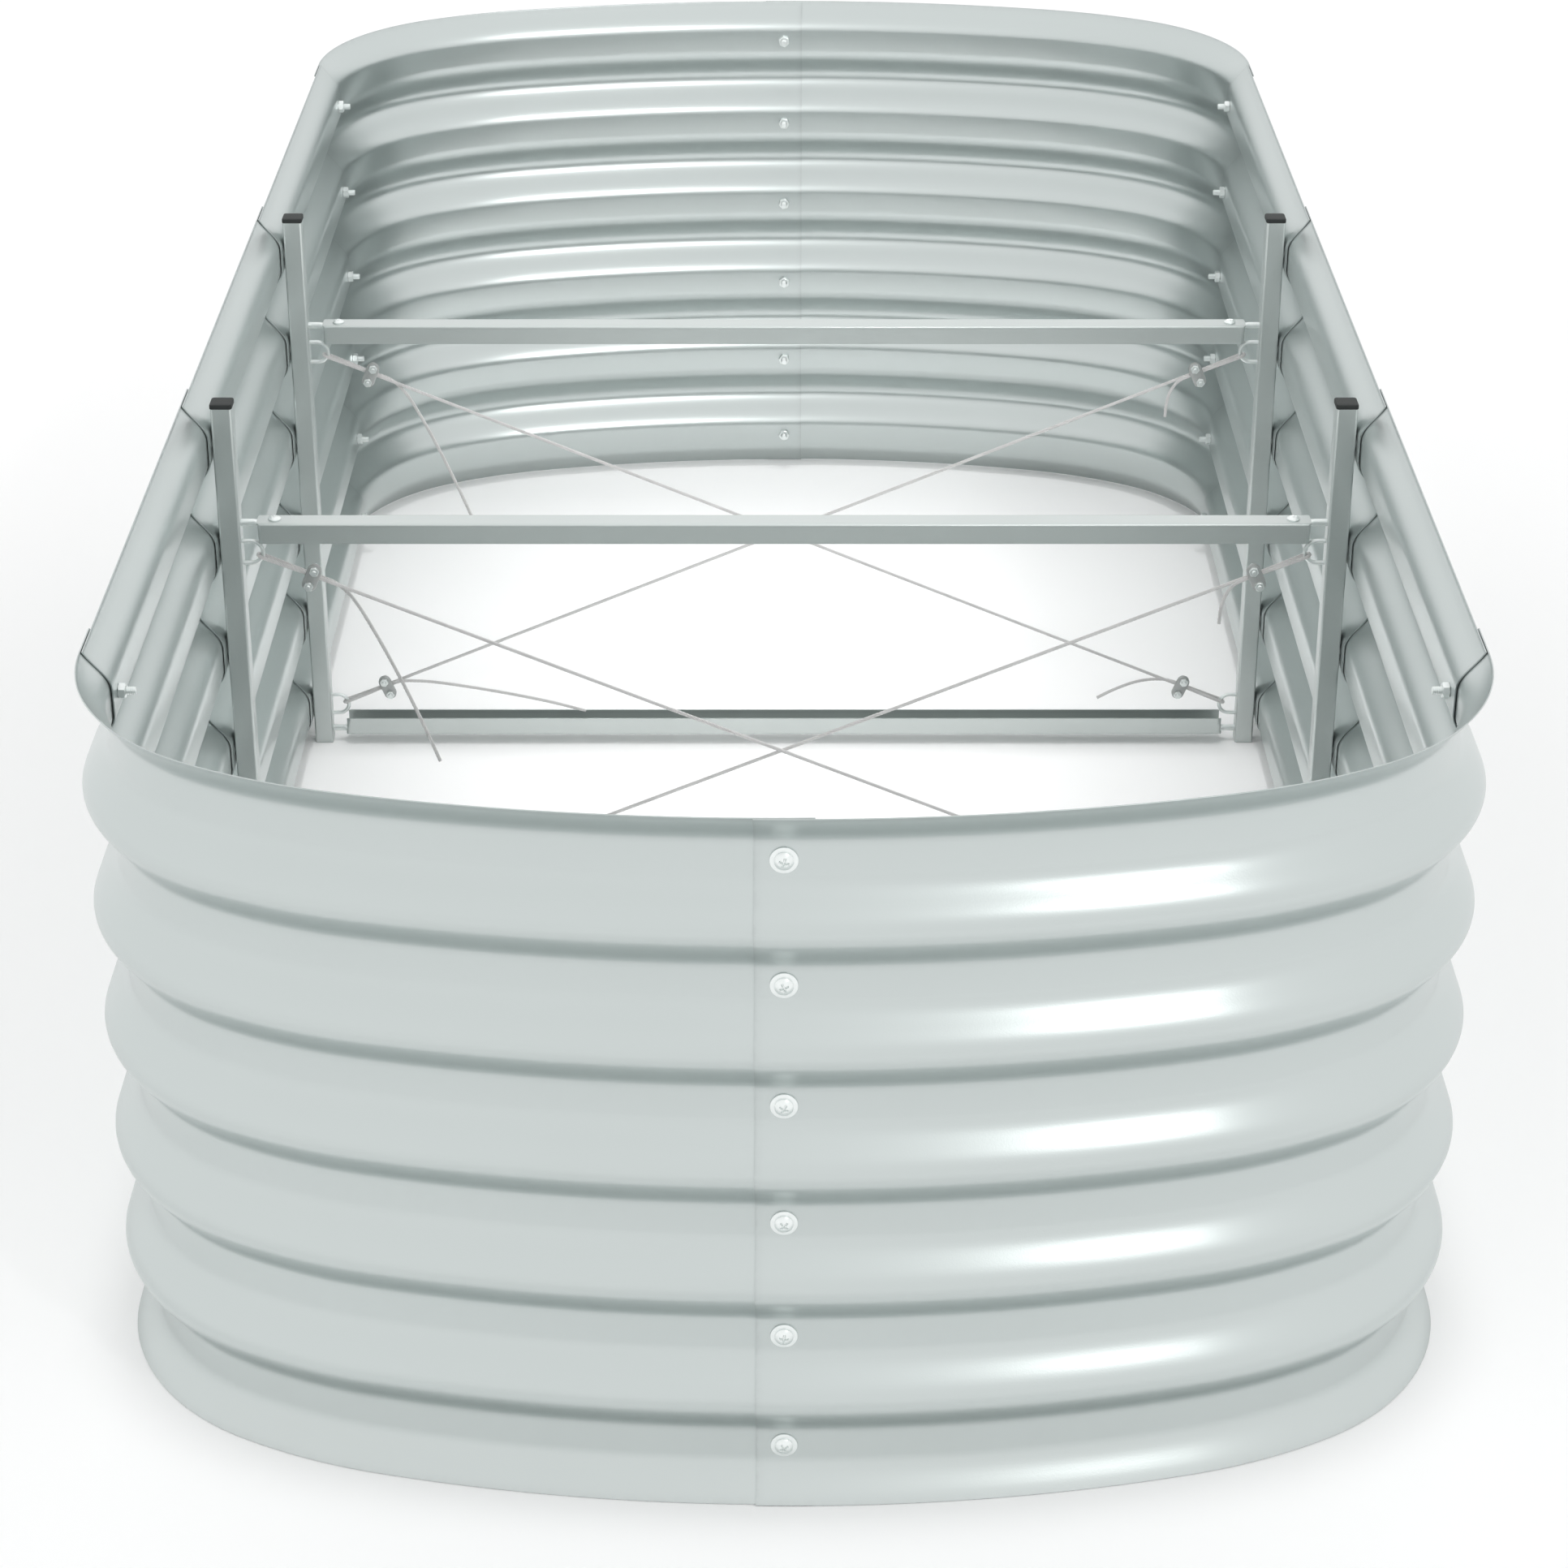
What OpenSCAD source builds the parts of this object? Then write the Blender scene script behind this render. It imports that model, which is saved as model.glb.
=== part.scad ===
// Raised garden bed: a long ring of corrugated steel wall panels, bolted together at
// ten seams. Two pairs of posts stand at the side seams. Each pair carries an upper
// and a lower cross bar, and two crossed wire ropes that keep the walls from bowing.
// Lengths are in millimetres. X runs across the bed, Y along it and Z up. The origin
// is on the ground, at the middle of the bed.

/* [Bed] */
// Overall length, over the crests of the end walls
bed_length = 2440; // [2200:10:2900]
// Overall width, over the crests of the side walls
bed_width = 1230; // [1120:10:1400]
// Height of the walls
bed_height = 680; // [620:5:760]

/* [Wall sheet] */
// Thickness of the steel sheet
sheet = 1.2; // [0.6:0.1:1.6]
// Depth of the corrugation, from crest to valley
wave_depth = 26; // [20:1:32]
// Number of valleys, each with its row of bolts
rows = 6; // [5:1:7]
// Height of the lowest row of bolts, and drop from the rim to the highest row
edge_to_row = 49; // [44:1:56]
// Flat land left above and below a washer in a valley
land_margin = 0.5; // [0.3:0.1:2]
// Air between two lapped sheets where they slope most
lap_gap = 0.5; // [0.2:0.05:0.8]

/* [Ends] */
// Radius of the end wall, seen from above
end_radius = 1450; // [1300:10:1700]
// Radius of the shoulder between the end wall and the corner
shoulder_radius = 500; // [450:10:600]
// Radius of the corner, where it runs into the side wall
corner_radius = 250; // [210:5:280]
// Direction at which the shoulder runs into the corner, off the bed's long axis
shoulder_angle = 30; // [28:1:36]

/* [Seams] */
// Reach of each panel past its row of bolts, where two panels lap
seam_lap = 25; // [20:1:32]
// Distance between the two pairs of posts
post_spacing = 590; // [420:10:760]

/* [Seam bolts] */
// Diameter of a seam bolt
bolt_d = 8; // [6:0.5:9]
// Diameter of its domed head
bolt_head_d = 16; // [14:0.5:20]
// Height of its head
bolt_head_h = 5; // [4:0.5:6]
// Length of a bolt in a plain seam, under its head
bolt_length = 20; // [17:1:26]
// Length of a bolt at a post, under its head
post_bolt_length = 16; // [13:1:18]
// Diameter of a washer
washer_d = 23.5; // [22:0.5:26]
// Thickness of a washer
washer_t = 1.6; // [1:0.2:2.4]
// Width of a nut across its flats
nut_flats = 13; // [12:0.5:15]
// Height of a nut
nut_h = 6.5; // [5:0.5:7.5]
// Width of one slot of the cross recess in a screw head
recess_slot = 1.6; // [1.2:0.2:2]

/* [Posts] */
// Width of the square tube
post_size = 22; // [20:1:26]
// Wall of the square tube
post_wall = 1.5; // [1.2:0.1:2]
// Radius of the tube's outer corners
post_corner = 2.4; // [2.2:0.1:3]
// Drop from the rim of the bed to the top of a post cap
cap_drop = 4; // [0:1:12]
// Height of a cap's rim above the tube
cap_rim = 5; // [3:1:8]
// Length of the part of a cap that sits in the tube
cap_plug = 14; // [10:1:20]
// Overhang of a cap's rim past the tube
cap_overhang = 0.4; // [0.2:0.1:1]
// Diameter of a rivet nut's flange
rivet_flange_d = 13; // [12.5:0.5:15]
// Thickness of a rivet nut's flange
rivet_flange_t = 0.8; // [0.6:0.1:1.2]
// Diameter of a rivet nut's body
rivet_body_d = 11; // [10.5:0.5:12]
// Length of a rivet nut's body
rivet_body_h = 9; // [7:0.5:10]

/* [Cross bars] */
// Width of a cross bar
bar_width = 27; // [22:1:34]
// Height of a cross bar
bar_height = 22; // [18:1:28]
// Wall of the channel that a cross bar is made of
bar_wall = 2; // [1.5:0.1:2.5]
// Radius along the bend of the channel
bar_bend = 3; // [2.6:0.1:4]
// Radius of the corners at the ends of a cross bar
bar_end_round = 6; // [4:1:9]
// Gap between the end of a cross bar and its post
bar_end_gap = 17; // [12:1:20]
// Height of the top of an upper cross bar
upper_bar_top = 546; // [500:2:560]
// Height of the bottom of a lower cross bar
lower_bar_bottom = 12; // [8:1:20]
// Diameter of the stud that carries the end of a cross bar
stud_d = 7.5; // [6.5:0.5:8.5]
// Thickness of the stud's flat blade
blade_t = 3; // [2:0.5:4]
// Width of the stud's flat blade
blade_w = 14; // [12:1:18]
// Distance from a post to the screw that holds its cross bar
screw_setback = 35; // [30:1:40]
// Diameter of that screw
screw_d = 6; // [5:0.5:6.5]
// Diameter of that screw's head
screw_head_d = 13.5; // [11:0.5:15]
// Height of that screw's head
screw_head_h = 4; // [3:0.5:5]
// Width of that screw's nut across its flats
screw_nut_flats = 10; // [9:0.5:11]
// Height of that screw's nut
screw_nut_h = 5; // [4:0.5:6]
// Thread left past a screw's nut
screw_tip = 2; // [1:0.5:4]

/* [Eye loops] */
// Diameter of the rod that an eye loop is bent from
eye_rod = 4.5; // [4:0.5:5.5]
// Distance between the two legs of an eye loop
eye_pitch = 24.5; // [22:0.5:28]
// Reach of an eye loop from its post
eye_reach = 23; // [20:0.5:27]
// Distance from the open edge of a cross bar to the middle of its eye loops
eye_offset = 14.5; // [13.5:0.5:20]
// Width of an eye loop's nut across its flats
eye_nut_flats = 8; // [7.5:0.5:9]
// Height of an eye loop's nut
eye_nut_h = 3.2; // [2.4:0.2:4]
// Thread left past an eye loop's nut
eye_tip = 1; // [0.5:0.5:2]

/* [Wire ropes] */
// Diameter of the wire rope
rope_d = 4; // [3:0.5:4.5]
// Gap between the two strands in a clip, and from a strand to what it lies against
rope_gap = 0.4; // [0.2:0.1:0.8]
// Distance from an eye loop to the middle of its rope clip
clip_distance = 55; // [45:1:70]
// Length of a rope clip's saddle, square to the rope
saddle_length = 31; // [29:1:36]
// Width of the saddle, along the rope
saddle_width = 15; // [12:1:20]
// Thickness of the saddle
saddle_t = 6; // [5:0.5:8]
// Distance between the legs of a rope clip
clip_pitch = 18; // [17:1:20]
// Diameter of the rod of a rope clip
clip_rod = 5; // [4:0.5:5.5]
// Radius along the middle of the rod, at the two bends of a rope clip
clip_bend = 4; // [3.5:0.5:5]
// Width of a rope clip's nut across its flats
clip_nut_flats = 9; // [8.5:0.5:10]
// Height of a rope clip's nut
clip_nut_h = 4; // [3:0.5:5]
// Thread left past a rope clip's nut
clip_tip = 2; // [1:0.5:4]

/* [Fits] */
// Clearance round a bolt, a stud or a rod in its hole, on each side
hole_gap = 0.3; // [0.2:0.05:0.5]
// Clearance round a thread in its nut, on each side
thread_gap = 0.1; // [0.05:0.05:0.2]
// Clearance of a cap's plug in its tube, on each side
plug_gap = 0.2; // [0.1:0.05:0.4]
// Air under a nut where the wall is curved
seat_gap = 0.05; // [0.02:0.01:0.1]

/* [Hidden] */

// Names for the sides, the ends and the heights
LEFT = -1;
RIGHT = 1;
NEAR = -1;
FAR = 1;
UPPER = 1;
LOWER = -1;

// Colours
wall_colour = "#cad3d2";
tube_colour = "#c4cbca";
cap_colour = "#2e3534";
zinc_colour = "#e6ebea";
rope_colour = "#c9c6c6";

// Facets round a full turn, where a curve is drawn as straight pieces
wall_facets = 360;
round_facets = 48;
rope_sides = 8;
// Straight pieces in the slope of the corrugation, and along a rope's bend
blend_steps = 5;
bend_steps = 6;
tail_steps = 2;
// Overrun of a cut past the face that it goes through
overrun = 1;
// Points of the wall's section that are nearer the edge than this are left out
least_step = 2;

// The corrugation
valley_land = washer_d + 2 * land_margin;
row_pitch = (bed_height - 2 * edge_to_row) / (rows - 1);
blend = (row_pitch - valley_land) / 2;
steepest = PI * wave_depth / (2 * blend);
layer_step = sheet * sqrt(1 + steepest * steepest) + lap_gap;

// Layers of lapped sheet, counted outward from the innermost panel
far_side_layer = 0;
middle_layer = 1;
near_side_layer = 2;
near_corner_layer = 3;
far_corner_layer = 1;
left_end_layer = 0;
right_end_layer = 1;

// Middle of the sheet at the crests of layer 0, and the outline of an end
crest_x = bed_width / 2 - sheet / 2 - near_corner_layer * layer_step;
crest_y = bed_length / 2 - sheet / 2 - right_end_layer * layer_step;
end_reach = crest_x - corner_radius - (shoulder_radius - corner_radius) * sin(shoulder_angle);
end_angle = asin(end_reach / (end_radius - shoulder_radius));
shoulder_centre = [
    end_reach,
    crest_y - end_radius + (end_radius - shoulder_radius) * cos(end_angle)
];
corner_centre = [
    crest_x - corner_radius,
    shoulder_centre.y + (shoulder_radius - corner_radius) * cos(shoulder_angle)
];

// Places of the seams along the sides
corner_seam_y = corner_centre.y - seam_lap;
post_y = post_spacing / 2;
// Grip of a bolt through two lapped sheets
lap_grip = layer_step + sheet;

// Places across the bed, at one pair of posts
function post_outer(far) = valley_x(far == FAR ? far_side_layer : middle_layer)
    - sheet / 2 - rivet_flange_t;
function post_inner(far) = post_outer(far) - post_size;
post_top = bed_height - cap_drop - cap_rim;

// Heights of the bars, the studs and the eye loops
function bar_web(level) = level == UPPER ? upper_bar_top : lower_bar_bottom;
function blade_z(level) = bar_web(level) - level * (bar_wall + blade_t / 2);
function eye_z(level) = bar_web(level) - level * (bar_height + eye_offset);

// Eye loops: middle of the bend, and the slope of the rope that joins two of them
eye_bend = eye_pitch / 2;
function eye_x(far) = post_inner(far) - eye_reach + eye_rod / 2 + eye_bend;
function rope_slope(far) = atan2(eye_z(UPPER) - eye_z(LOWER), 2 * eye_x(far));

// Wire ropes: offset of each strand, bend round the eye and end of the doubled part
strand_y = (rope_d + rope_gap) / 2;
rope_bend = (eye_rod + rope_d) / 2 + rope_gap;
doubled_end = clip_distance + saddle_width / 2 + rope_gap;
doubled_start = clip_distance - saddle_width / 2 - rope_gap;
bend_from = 80;

// Routes of the free rope tails, inward and up from the end of the doubled part
tail_upper_left = [
    [0, 0], [17, -8], [33, -25], [49, -54], [67, -92], [85, -134], [101, -174], [116, -215]
];
tail_upper_right = [[0, 0], [14, -7], [23, -20], [27, -36], [28, -52]];
tail_lower_left = [
    [0, 0], [12, 3], [30, 3], [54, 1], [98, -6], [150, -16], [198, -27], [236, -38]
];
tail_lower_right = [[0, 0], [12, 3], [30, 3], [50, -1], [74, -11], [94, -22]];

// Height of one row of bolts, counted from the ground
function row_z(row) = edge_to_row + row * row_pitch;

// Middle of the sheet in the valleys of a side wall, and of an end wall
function valley_x(layer) = crest_x + layer * layer_step - wave_depth;
function valley_y(layer) = crest_y + layer * layer_step - wave_depth;

// Height above or below the nearest row of bolts, past the flat land
function slope_run(z) =
    max(0, min([for (row = [0 : rows - 1]) abs(z - row_z(row))]) - valley_land / 2);

// Inward offset of the sheet at one height, and its thickness measured level
function inward(z) = wave_depth * (1 + cos(180 * min(1, slope_run(z) / blend))) / 2;
function level_t(z) =
    let (rise = steepest * sin(180 * min(1, slope_run(z) / blend)))
    sheet * sqrt(1 + rise * rise);

// Heights of the corners of the wall's section
row_offsets = concat(
    [for (k = [-blend_steps : -1]) k * blend / blend_steps - valley_land / 2],
    [-valley_land / 2],
    [for (k = [0 : blend_steps - 1]) k * blend / blend_steps + valley_land / 2]
);
section_heights = concat(
    [0],
    [for (row = [0 : rows - 1], offset = row_offsets)
        let (z = row_z(row) + offset)
        if (z > least_step && z < bed_height - least_step) z],
    [bed_height]
);

// Section of a wall, with its crests on the Y axis and its inside toward -X
module wall_section() {
    outer = [for (z = section_heights) [level_t(z) / 2 - inward(z), z]];
    last = len(section_heights) - 1;
    inner = [
        for (k = [last : -1 : 0])
            let (z = section_heights[k])
            [-level_t(z) / 2 - inward(z), z]
    ];
    polygon(concat(outer, inner));
}

// One arc of a wall, whose outward direction turns from one angle to another,
// both measured from +Y toward +X
module wall_arc(centre, radius, from_angle, to_angle) {
    translate([centre.x, centre.y, 0])
        rotate([0, 0, 90 - to_angle])
            rotate_extrude(angle = to_angle - from_angle, $fn = wall_facets)
                translate([radius, 0])
                    wall_section();
}

// A straight wall along Y, on the +X side
module wall_run(x, y_from, y_to) {
    translate([x, y_to, 0])
        rotate([90, 0, 0])
            linear_extrude(height = y_to - y_from)
                wall_section();
}

// Holes for one seam: the axis runs along +X from the origin
module seam_holes() {
    for (row = [0 : rows - 1])
        translate([-wave_depth, 0, row_z(row)])
            rotate([0, 90, 0])
                cylinder(h = 2 * wave_depth, d = bolt_d + 2 * hole_gap, center = true,
                    $fn = round_facets);
}

// A corner panel: from just past the middle of one end to just past its corner seam
module corner_panel(side, end, side_layer, end_layer) {
    shift = [side_layer * layer_step, end_layer * layer_step];
    lap_angle = asin((seam_lap + shift.x) / end_radius);
    seam_y = corner_seam_y - shift.y;
    color(wall_colour)
        scale([side, end, 1])
            translate([shift.x, shift.y, 0])
                difference() {
                    union() {
                        wall_arc([0, crest_y - end_radius], end_radius, -lap_angle, end_angle);
                        wall_arc(shoulder_centre, shoulder_radius, end_angle, shoulder_angle);
                        wall_arc(corner_centre, corner_radius, shoulder_angle, 90);
                        wall_run(crest_x, seam_y - seam_lap, corner_centre.y);
                    }
                    translate([-shift.x, crest_y, 0])
                        rotate([0, 0, 90])
                            seam_holes();
                    translate([crest_x, seam_y, 0])
                        seam_holes();
                }
}

// A side panel between two seams
module side_panel(side, layer, y_from, y_to) {
    color(wall_colour)
        scale([side, 1, 1])
            translate([crest_x + layer * layer_step, 0, 0])
                difference() {
                    wall_run(0, y_from - seam_lap, y_to + seam_lap);
                    translate([0, y_from, 0])
                        seam_holes();
                    translate([0, y_to, 0])
                        seam_holes();
                }
}

// A rectangle with round corners
module rounded_rectangle(width, height, radius) {
    square([width - 2 * radius, height], center = true);
    square([width, height - 2 * radius], center = true);
    for (x = [-1, 1], y = [-1, 1])
        translate([x * (width / 2 - radius), y * (height / 2 - radius)])
            circle(radius, $fn = round_facets);
}

// A hole through one wall of a post, along X
module post_hole(x, z, d) {
    translate([x, 0, z])
        rotate([0, 90, 0])
            cylinder(h = post_wall + 2 * overrun, d = d, center = true, $fn = round_facets);
}

// A post, with its outer face toward the wall
module post(side, far) {
    bore = post_size - 2 * post_wall;
    outer_wall_x = post_outer(far) - post_wall / 2;
    inner_wall_x = post_inner(far) + post_wall / 2;
    color(tube_colour)
        scale([side, 1, 1])
            translate([0, far * post_y, 0])
                difference() {
                    translate([(post_outer(far) + post_inner(far)) / 2, 0, 0])
                        linear_extrude(height = post_top)
                            difference() {
                                rounded_rectangle(post_size, post_size, post_corner);
                                rounded_rectangle(bore, bore, post_corner - post_wall);
                            }
                    for (row = [0 : rows - 1])
                        post_hole(outer_wall_x, row_z(row), rivet_body_d + 2 * thread_gap);
                    for (level = [UPPER, LOWER]) {
                        post_hole(inner_wall_x, blade_z(level), stud_d + 2 * hole_gap);
                        for (leg = [-1, 1])
                            post_hole(inner_wall_x, eye_z(level) + leg * eye_pitch / 2,
                                eye_rod + 2 * hole_gap);
                    }
                }
}

// A post cap: a rim over the tube and a plug inside it
module post_cap(side, far) {
    rim = post_size + 2 * cap_overhang;
    plug = post_size - 2 * post_wall - 2 * plug_gap;
    color(cap_colour)
        translate([side * (post_outer(far) + post_inner(far)) / 2, far * post_y, post_top]) {
            linear_extrude(height = cap_rim)
                rounded_rectangle(rim, rim, post_corner + cap_overhang);
            translate([0, 0, -cap_plug])
                linear_extrude(height = cap_plug)
                    rounded_rectangle(plug, plug, post_corner - post_wall);
        }
}

// Channel section: the web is up and the mouth is down, with the web's top at zero
module channel_section() {
    difference() {
        translate([0, -bar_height])
            rounded_rectangle(bar_width, 2 * bar_height, bar_bend);
        translate([0, -bar_height])
            rounded_rectangle(bar_width - 2 * bar_wall, 2 * (bar_height - bar_wall),
                bar_bend - bar_wall);
        translate([-bar_width, -3 * bar_height])
            square([2 * bar_width, 2 * bar_height]);
    }
}

// What is cut from a bar's corner, seen from above, with the corner at the origin
module corner_cut() {
    difference() {
        translate([-bar_end_round, -bar_end_round, -bar_height])
            cube([bar_end_round + overrun, bar_end_round + overrun, 2 * bar_height]);
        translate([-bar_end_round, -bar_end_round, -bar_height - overrun])
            cylinder(h = 2 * bar_height + 2 * overrun, r = bar_end_round, $fn = round_facets);
    }
}

// A cross bar between two posts, held at each end by a screw through its web
module cross_bar(far, level) {
    half = post_inner(far) - bar_end_gap;
    color(tube_colour)
        translate([0, far * post_y, bar_web(level)])
            scale([1, 1, level])
                difference() {
                    translate([-half, 0, 0])
                        rotate([90, 0, 90])
                            linear_extrude(height = 2 * half)
                                channel_section();
                    for (x = [-1, 1], y = [-1, 1])
                        scale([x, y, 1])
                            translate([half, bar_width / 2, 0])
                                corner_cut();
                    for (x = [-1, 1])
                        translate([x * (post_inner(far) - screw_setback), 0, 0])
                            cylinder(h = 2 * bar_wall + 2 * overrun, d = screw_d + 2 * hole_gap,
                                center = true, $fn = round_facets);
                }
}

// Stands its children at both posts of both pairs, at both bars, with +X outward,
// the post's inner face at the origin and the bar's web toward +Z
module at_bar_ends() {
    for (side = [LEFT, RIGHT], far = [NEAR, FAR], level = [UPPER, LOWER])
        translate([side * post_inner(far), far * post_y, blade_z(level)])
            scale([side, 1, level])
                children();
}

// A stud: a rod through the post's wall, with a flat blade under the bar's web
module bar_stud() {
    inner_end = post_wall + stud_nut_h() + seat_gap + screw_tip;
    blade_end = -screw_setback;
    difference() {
        union() {
            translate([-bar_end_gap, 0, 0])
                rotate([0, 90, 0])
                    cylinder(h = bar_end_gap + inner_end, d = stud_d, $fn = round_facets);
            translate([blade_end, -blade_w / 2, -blade_t / 2])
                cube([screw_setback - bar_end_gap, blade_w, blade_t]);
            translate([blade_end, 0, -blade_t / 2])
                cylinder(h = blade_t, d = blade_w, $fn = round_facets);
        }
        translate([blade_end, 0, -blade_t])
            cylinder(h = 2 * blade_t, d = screw_d + 2 * hole_gap, $fn = round_facets);
    }
}

// Height of a stud's nut, kept as slim as it can be inside the tube
function stud_nut_h() = nut_h - post_wall;

// A hexagonal nut on the XY plane, with its bore along Z
module nut(flats, height, thread_d) {
    difference() {
        cylinder(h = height, d = flats / cos(30), $fn = 6);
        translate([0, 0, -overrun])
            cylinder(h = height + 2 * overrun, d = thread_d + 2 * thread_gap, $fn = round_facets);
    }
}

// A pan head screw: the underside of its head is on the XY plane and its shank is down
module pan_screw(d, length, head_d, head_h) {
    edge_h = head_h / 3;
    dome_h = head_h - edge_h;
    dome_r = (dome_h * dome_h + head_d * head_d / 4) / (2 * dome_h);
    dome_angle = asin(head_d / 2 / dome_r);
    recess_d = head_d / 2;
    difference() {
        union() {
            rotate_extrude($fn = round_facets)
                polygon(concat(
                    [[0, 0], [head_d / 2, 0]],
                    [for (k = [0 : blend_steps])
                        let (a = dome_angle * (1 - k / blend_steps))
                        [dome_r * sin(a), head_h - dome_r + dome_r * cos(a)]]
                ));
            translate([0, 0, -length])
                cylinder(h = length + edge_h, d = d, $fn = round_facets);
        }
        for (turn = [0, 90])
            rotate([0, 0, turn])
                translate([-recess_d / 2, -recess_slot / 2, head_h / 2])
                    cube([recess_d, recess_slot, head_h]);
    }
}

// Stands its children at each row of one seam, with +Z outward along the given angle
module at_rows(place, angle) {
    for (row = [0 : rows - 1])
        translate([place.x, place.y, row_z(row)])
            rotate([0, 0, angle])
                rotate([0, 90, 0])
                    children();
}

// Stands its children on the outside of every plain seam, with +Z outward
module at_plain_seams() {
    for (side = [LEFT, RIGHT], far = [NEAR, FAR]) {
        layer = far == NEAR ? near_corner_layer : far_corner_layer;
        at_rows([side * (valley_x(layer) + sheet / 2), far * corner_seam_y], 90 - side * 90)
            children();
    }
    for (far = [NEAR, FAR])
        at_rows([0, far * (valley_y(right_end_layer) + sheet / 2)], far * 90)
            children();
}

// Stands its children on the outside of every seam at a post, with +Z outward
module at_post_seams() {
    for (side = [LEFT, RIGHT], far = [NEAR, FAR]) {
        layer = far == NEAR ? near_side_layer : middle_layer;
        at_rows([side * (valley_x(layer) + sheet / 2), far * post_y], 90 - side * 90)
            children();
    }
}

module seam_bolts() {
    color(zinc_colour)
        at_plain_seams()
            translate([0, 0, washer_t])
                pan_screw(bolt_d, bolt_length, bolt_head_d, bolt_head_h);
}

module post_bolts() {
    color(zinc_colour)
        at_post_seams()
            translate([0, 0, washer_t])
                pan_screw(bolt_d, post_bolt_length, bolt_head_d, bolt_head_h);
}

// A flat washer on the XY plane
module washer() {
    difference() {
        cylinder(h = washer_t, d = washer_d, $fn = round_facets);
        translate([0, 0, -overrun])
            cylinder(h = washer_t + 2 * overrun, d = bolt_d + 2 * hole_gap, $fn = round_facets);
    }
}

module seam_washers() {
    color(zinc_colour)
        at_plain_seams()
            washer();
}

module post_washers() {
    color(zinc_colour)
        at_post_seams()
            washer();
}

module seam_nuts() {
    color(zinc_colour)
        at_plain_seams()
            translate([0, 0, -lap_grip - seat_gap - nut_h])
                nut(nut_flats, nut_h, bolt_d);
}

// A rivet nut: its flange lies between the sheet and the post, its body is in the post
module rivet_nuts() {
    color(zinc_colour)
        at_post_seams()
            translate([0, 0, -lap_grip - rivet_flange_t])
                difference() {
                    union() {
                        cylinder(h = rivet_flange_t, d = rivet_flange_d, $fn = round_facets);
                        translate([0, 0, -rivet_body_h])
                            cylinder(h = rivet_body_h, d = rivet_body_d, $fn = round_facets);
                    }
                    translate([0, 0, -rivet_body_h - overrun])
                        cylinder(h = rivet_body_h + rivet_flange_t + 2 * overrun,
                            d = bolt_d + 2 * thread_gap, $fn = round_facets);
                }
}

module bar_studs() {
    color(zinc_colour)
        at_bar_ends()
            bar_stud();
}

module stud_nuts() {
    color(zinc_colour)
        at_bar_ends()
            translate([post_wall + seat_gap, 0, 0])
                rotate([0, 90, 0])
                    nut(nut_flats, stud_nut_h(), stud_d);
}

module bar_screws() {
    grip = bar_wall + blade_t;
    color(zinc_colour)
        at_bar_ends()
            translate([-screw_setback, 0, blade_t / 2 + bar_wall])
                pan_screw(screw_d, grip + seat_gap + screw_nut_h + screw_tip,
                    screw_head_d, screw_head_h);
}

module bar_screw_nuts() {
    color(zinc_colour)
        at_bar_ends()
            translate([-screw_setback, 0, -blade_t / 2 - seat_gap - screw_nut_h])
                nut(screw_nut_flats, screw_nut_h, screw_d);
}

// Stands its children at the middle of every eye loop, on the post's inner face,
// with +X outward
module at_eyes() {
    for (side = [LEFT, RIGHT], far = [NEAR, FAR], level = [UPPER, LOWER])
        translate([side * post_inner(far), far * post_y, eye_z(level)])
            scale([side, 1, 1])
                children();
}

// An eye loop: two legs through the post's wall and a half ring that joins them
module eye_loops() {
    bend_x = -(eye_reach - eye_rod / 2 - eye_bend);
    leg_end = post_wall + seat_gap + eye_nut_h + eye_tip;
    color(zinc_colour)
        at_eyes()
            union() {
                translate([bend_x, 0, 0])
                    rotate([90, 0, 0])
                        rotate([0, 0, 90])
                            rotate_extrude(angle = 180, $fn = round_facets)
                                translate([eye_bend, 0])
                                    circle(d = eye_rod, $fn = round_facets);
                for (leg = [-1, 1])
                    translate([bend_x, 0, leg * eye_pitch / 2])
                        rotate([0, 90, 0])
                            cylinder(h = leg_end - bend_x, d = eye_rod, $fn = round_facets);
            }
}

module eye_nuts() {
    color(zinc_colour)
        at_eyes()
            for (leg = [-1, 1])
                translate([post_wall + seat_gap, 0, leg * eye_pitch / 2])
                    rotate([0, 90, 0])
                        nut(eye_nut_flats, eye_nut_h, eye_rod);
}

// Stands its children at one eye loop's bend: +X runs inward along the rope, +Y is
// away from the near end and +Z is square to the rope
module along_rope(side, far, level) {
    translate([side * eye_x(far), far * post_y, eye_z(level)])
        scale([-side, 1, 1])
            rotate([0, level * rope_slope(far), 0])
                translate([eye_bend, 0, 0])
                    children();
}

// Stands its children at the middle of every rope clip
module at_clips() {
    for (side = [LEFT, RIGHT], far = [NEAR, FAR], level = [UPPER, LOWER])
        along_rope(side, far, level)
            translate([clip_distance, 0, 0])
                children();
}

// Face of the saddle that lies against the strands, and the middle of the rod behind them
saddle_y = strand_y + rope_d / 2 + rope_gap / 2;
clip_rod_y = saddle_y + clip_rod / 2;

// A clip's saddle: a plate with round ends and two holes
module clip_saddles() {
    plate_r = saddle_width / 2;
    color(zinc_colour)
        at_clips()
            translate([0, -saddle_y, 0])
                rotate([90, 0, 0])
                    difference() {
                        union() {
                            translate([-saddle_width / 2, plate_r - saddle_length / 2, 0])
                                cube([saddle_width, saddle_length - 2 * plate_r, saddle_t]);
                            for (end = [-1, 1])
                                translate([0, end * (saddle_length / 2 - plate_r), 0])
                                    cylinder(h = saddle_t, r = plate_r, $fn = round_facets);
                        }
                        for (end = [-1, 1])
                            translate([0, end * clip_pitch / 2, -overrun])
                                cylinder(h = saddle_t + 2 * overrun,
                                    d = clip_rod + 2 * hole_gap, $fn = round_facets);
                    }
}

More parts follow.
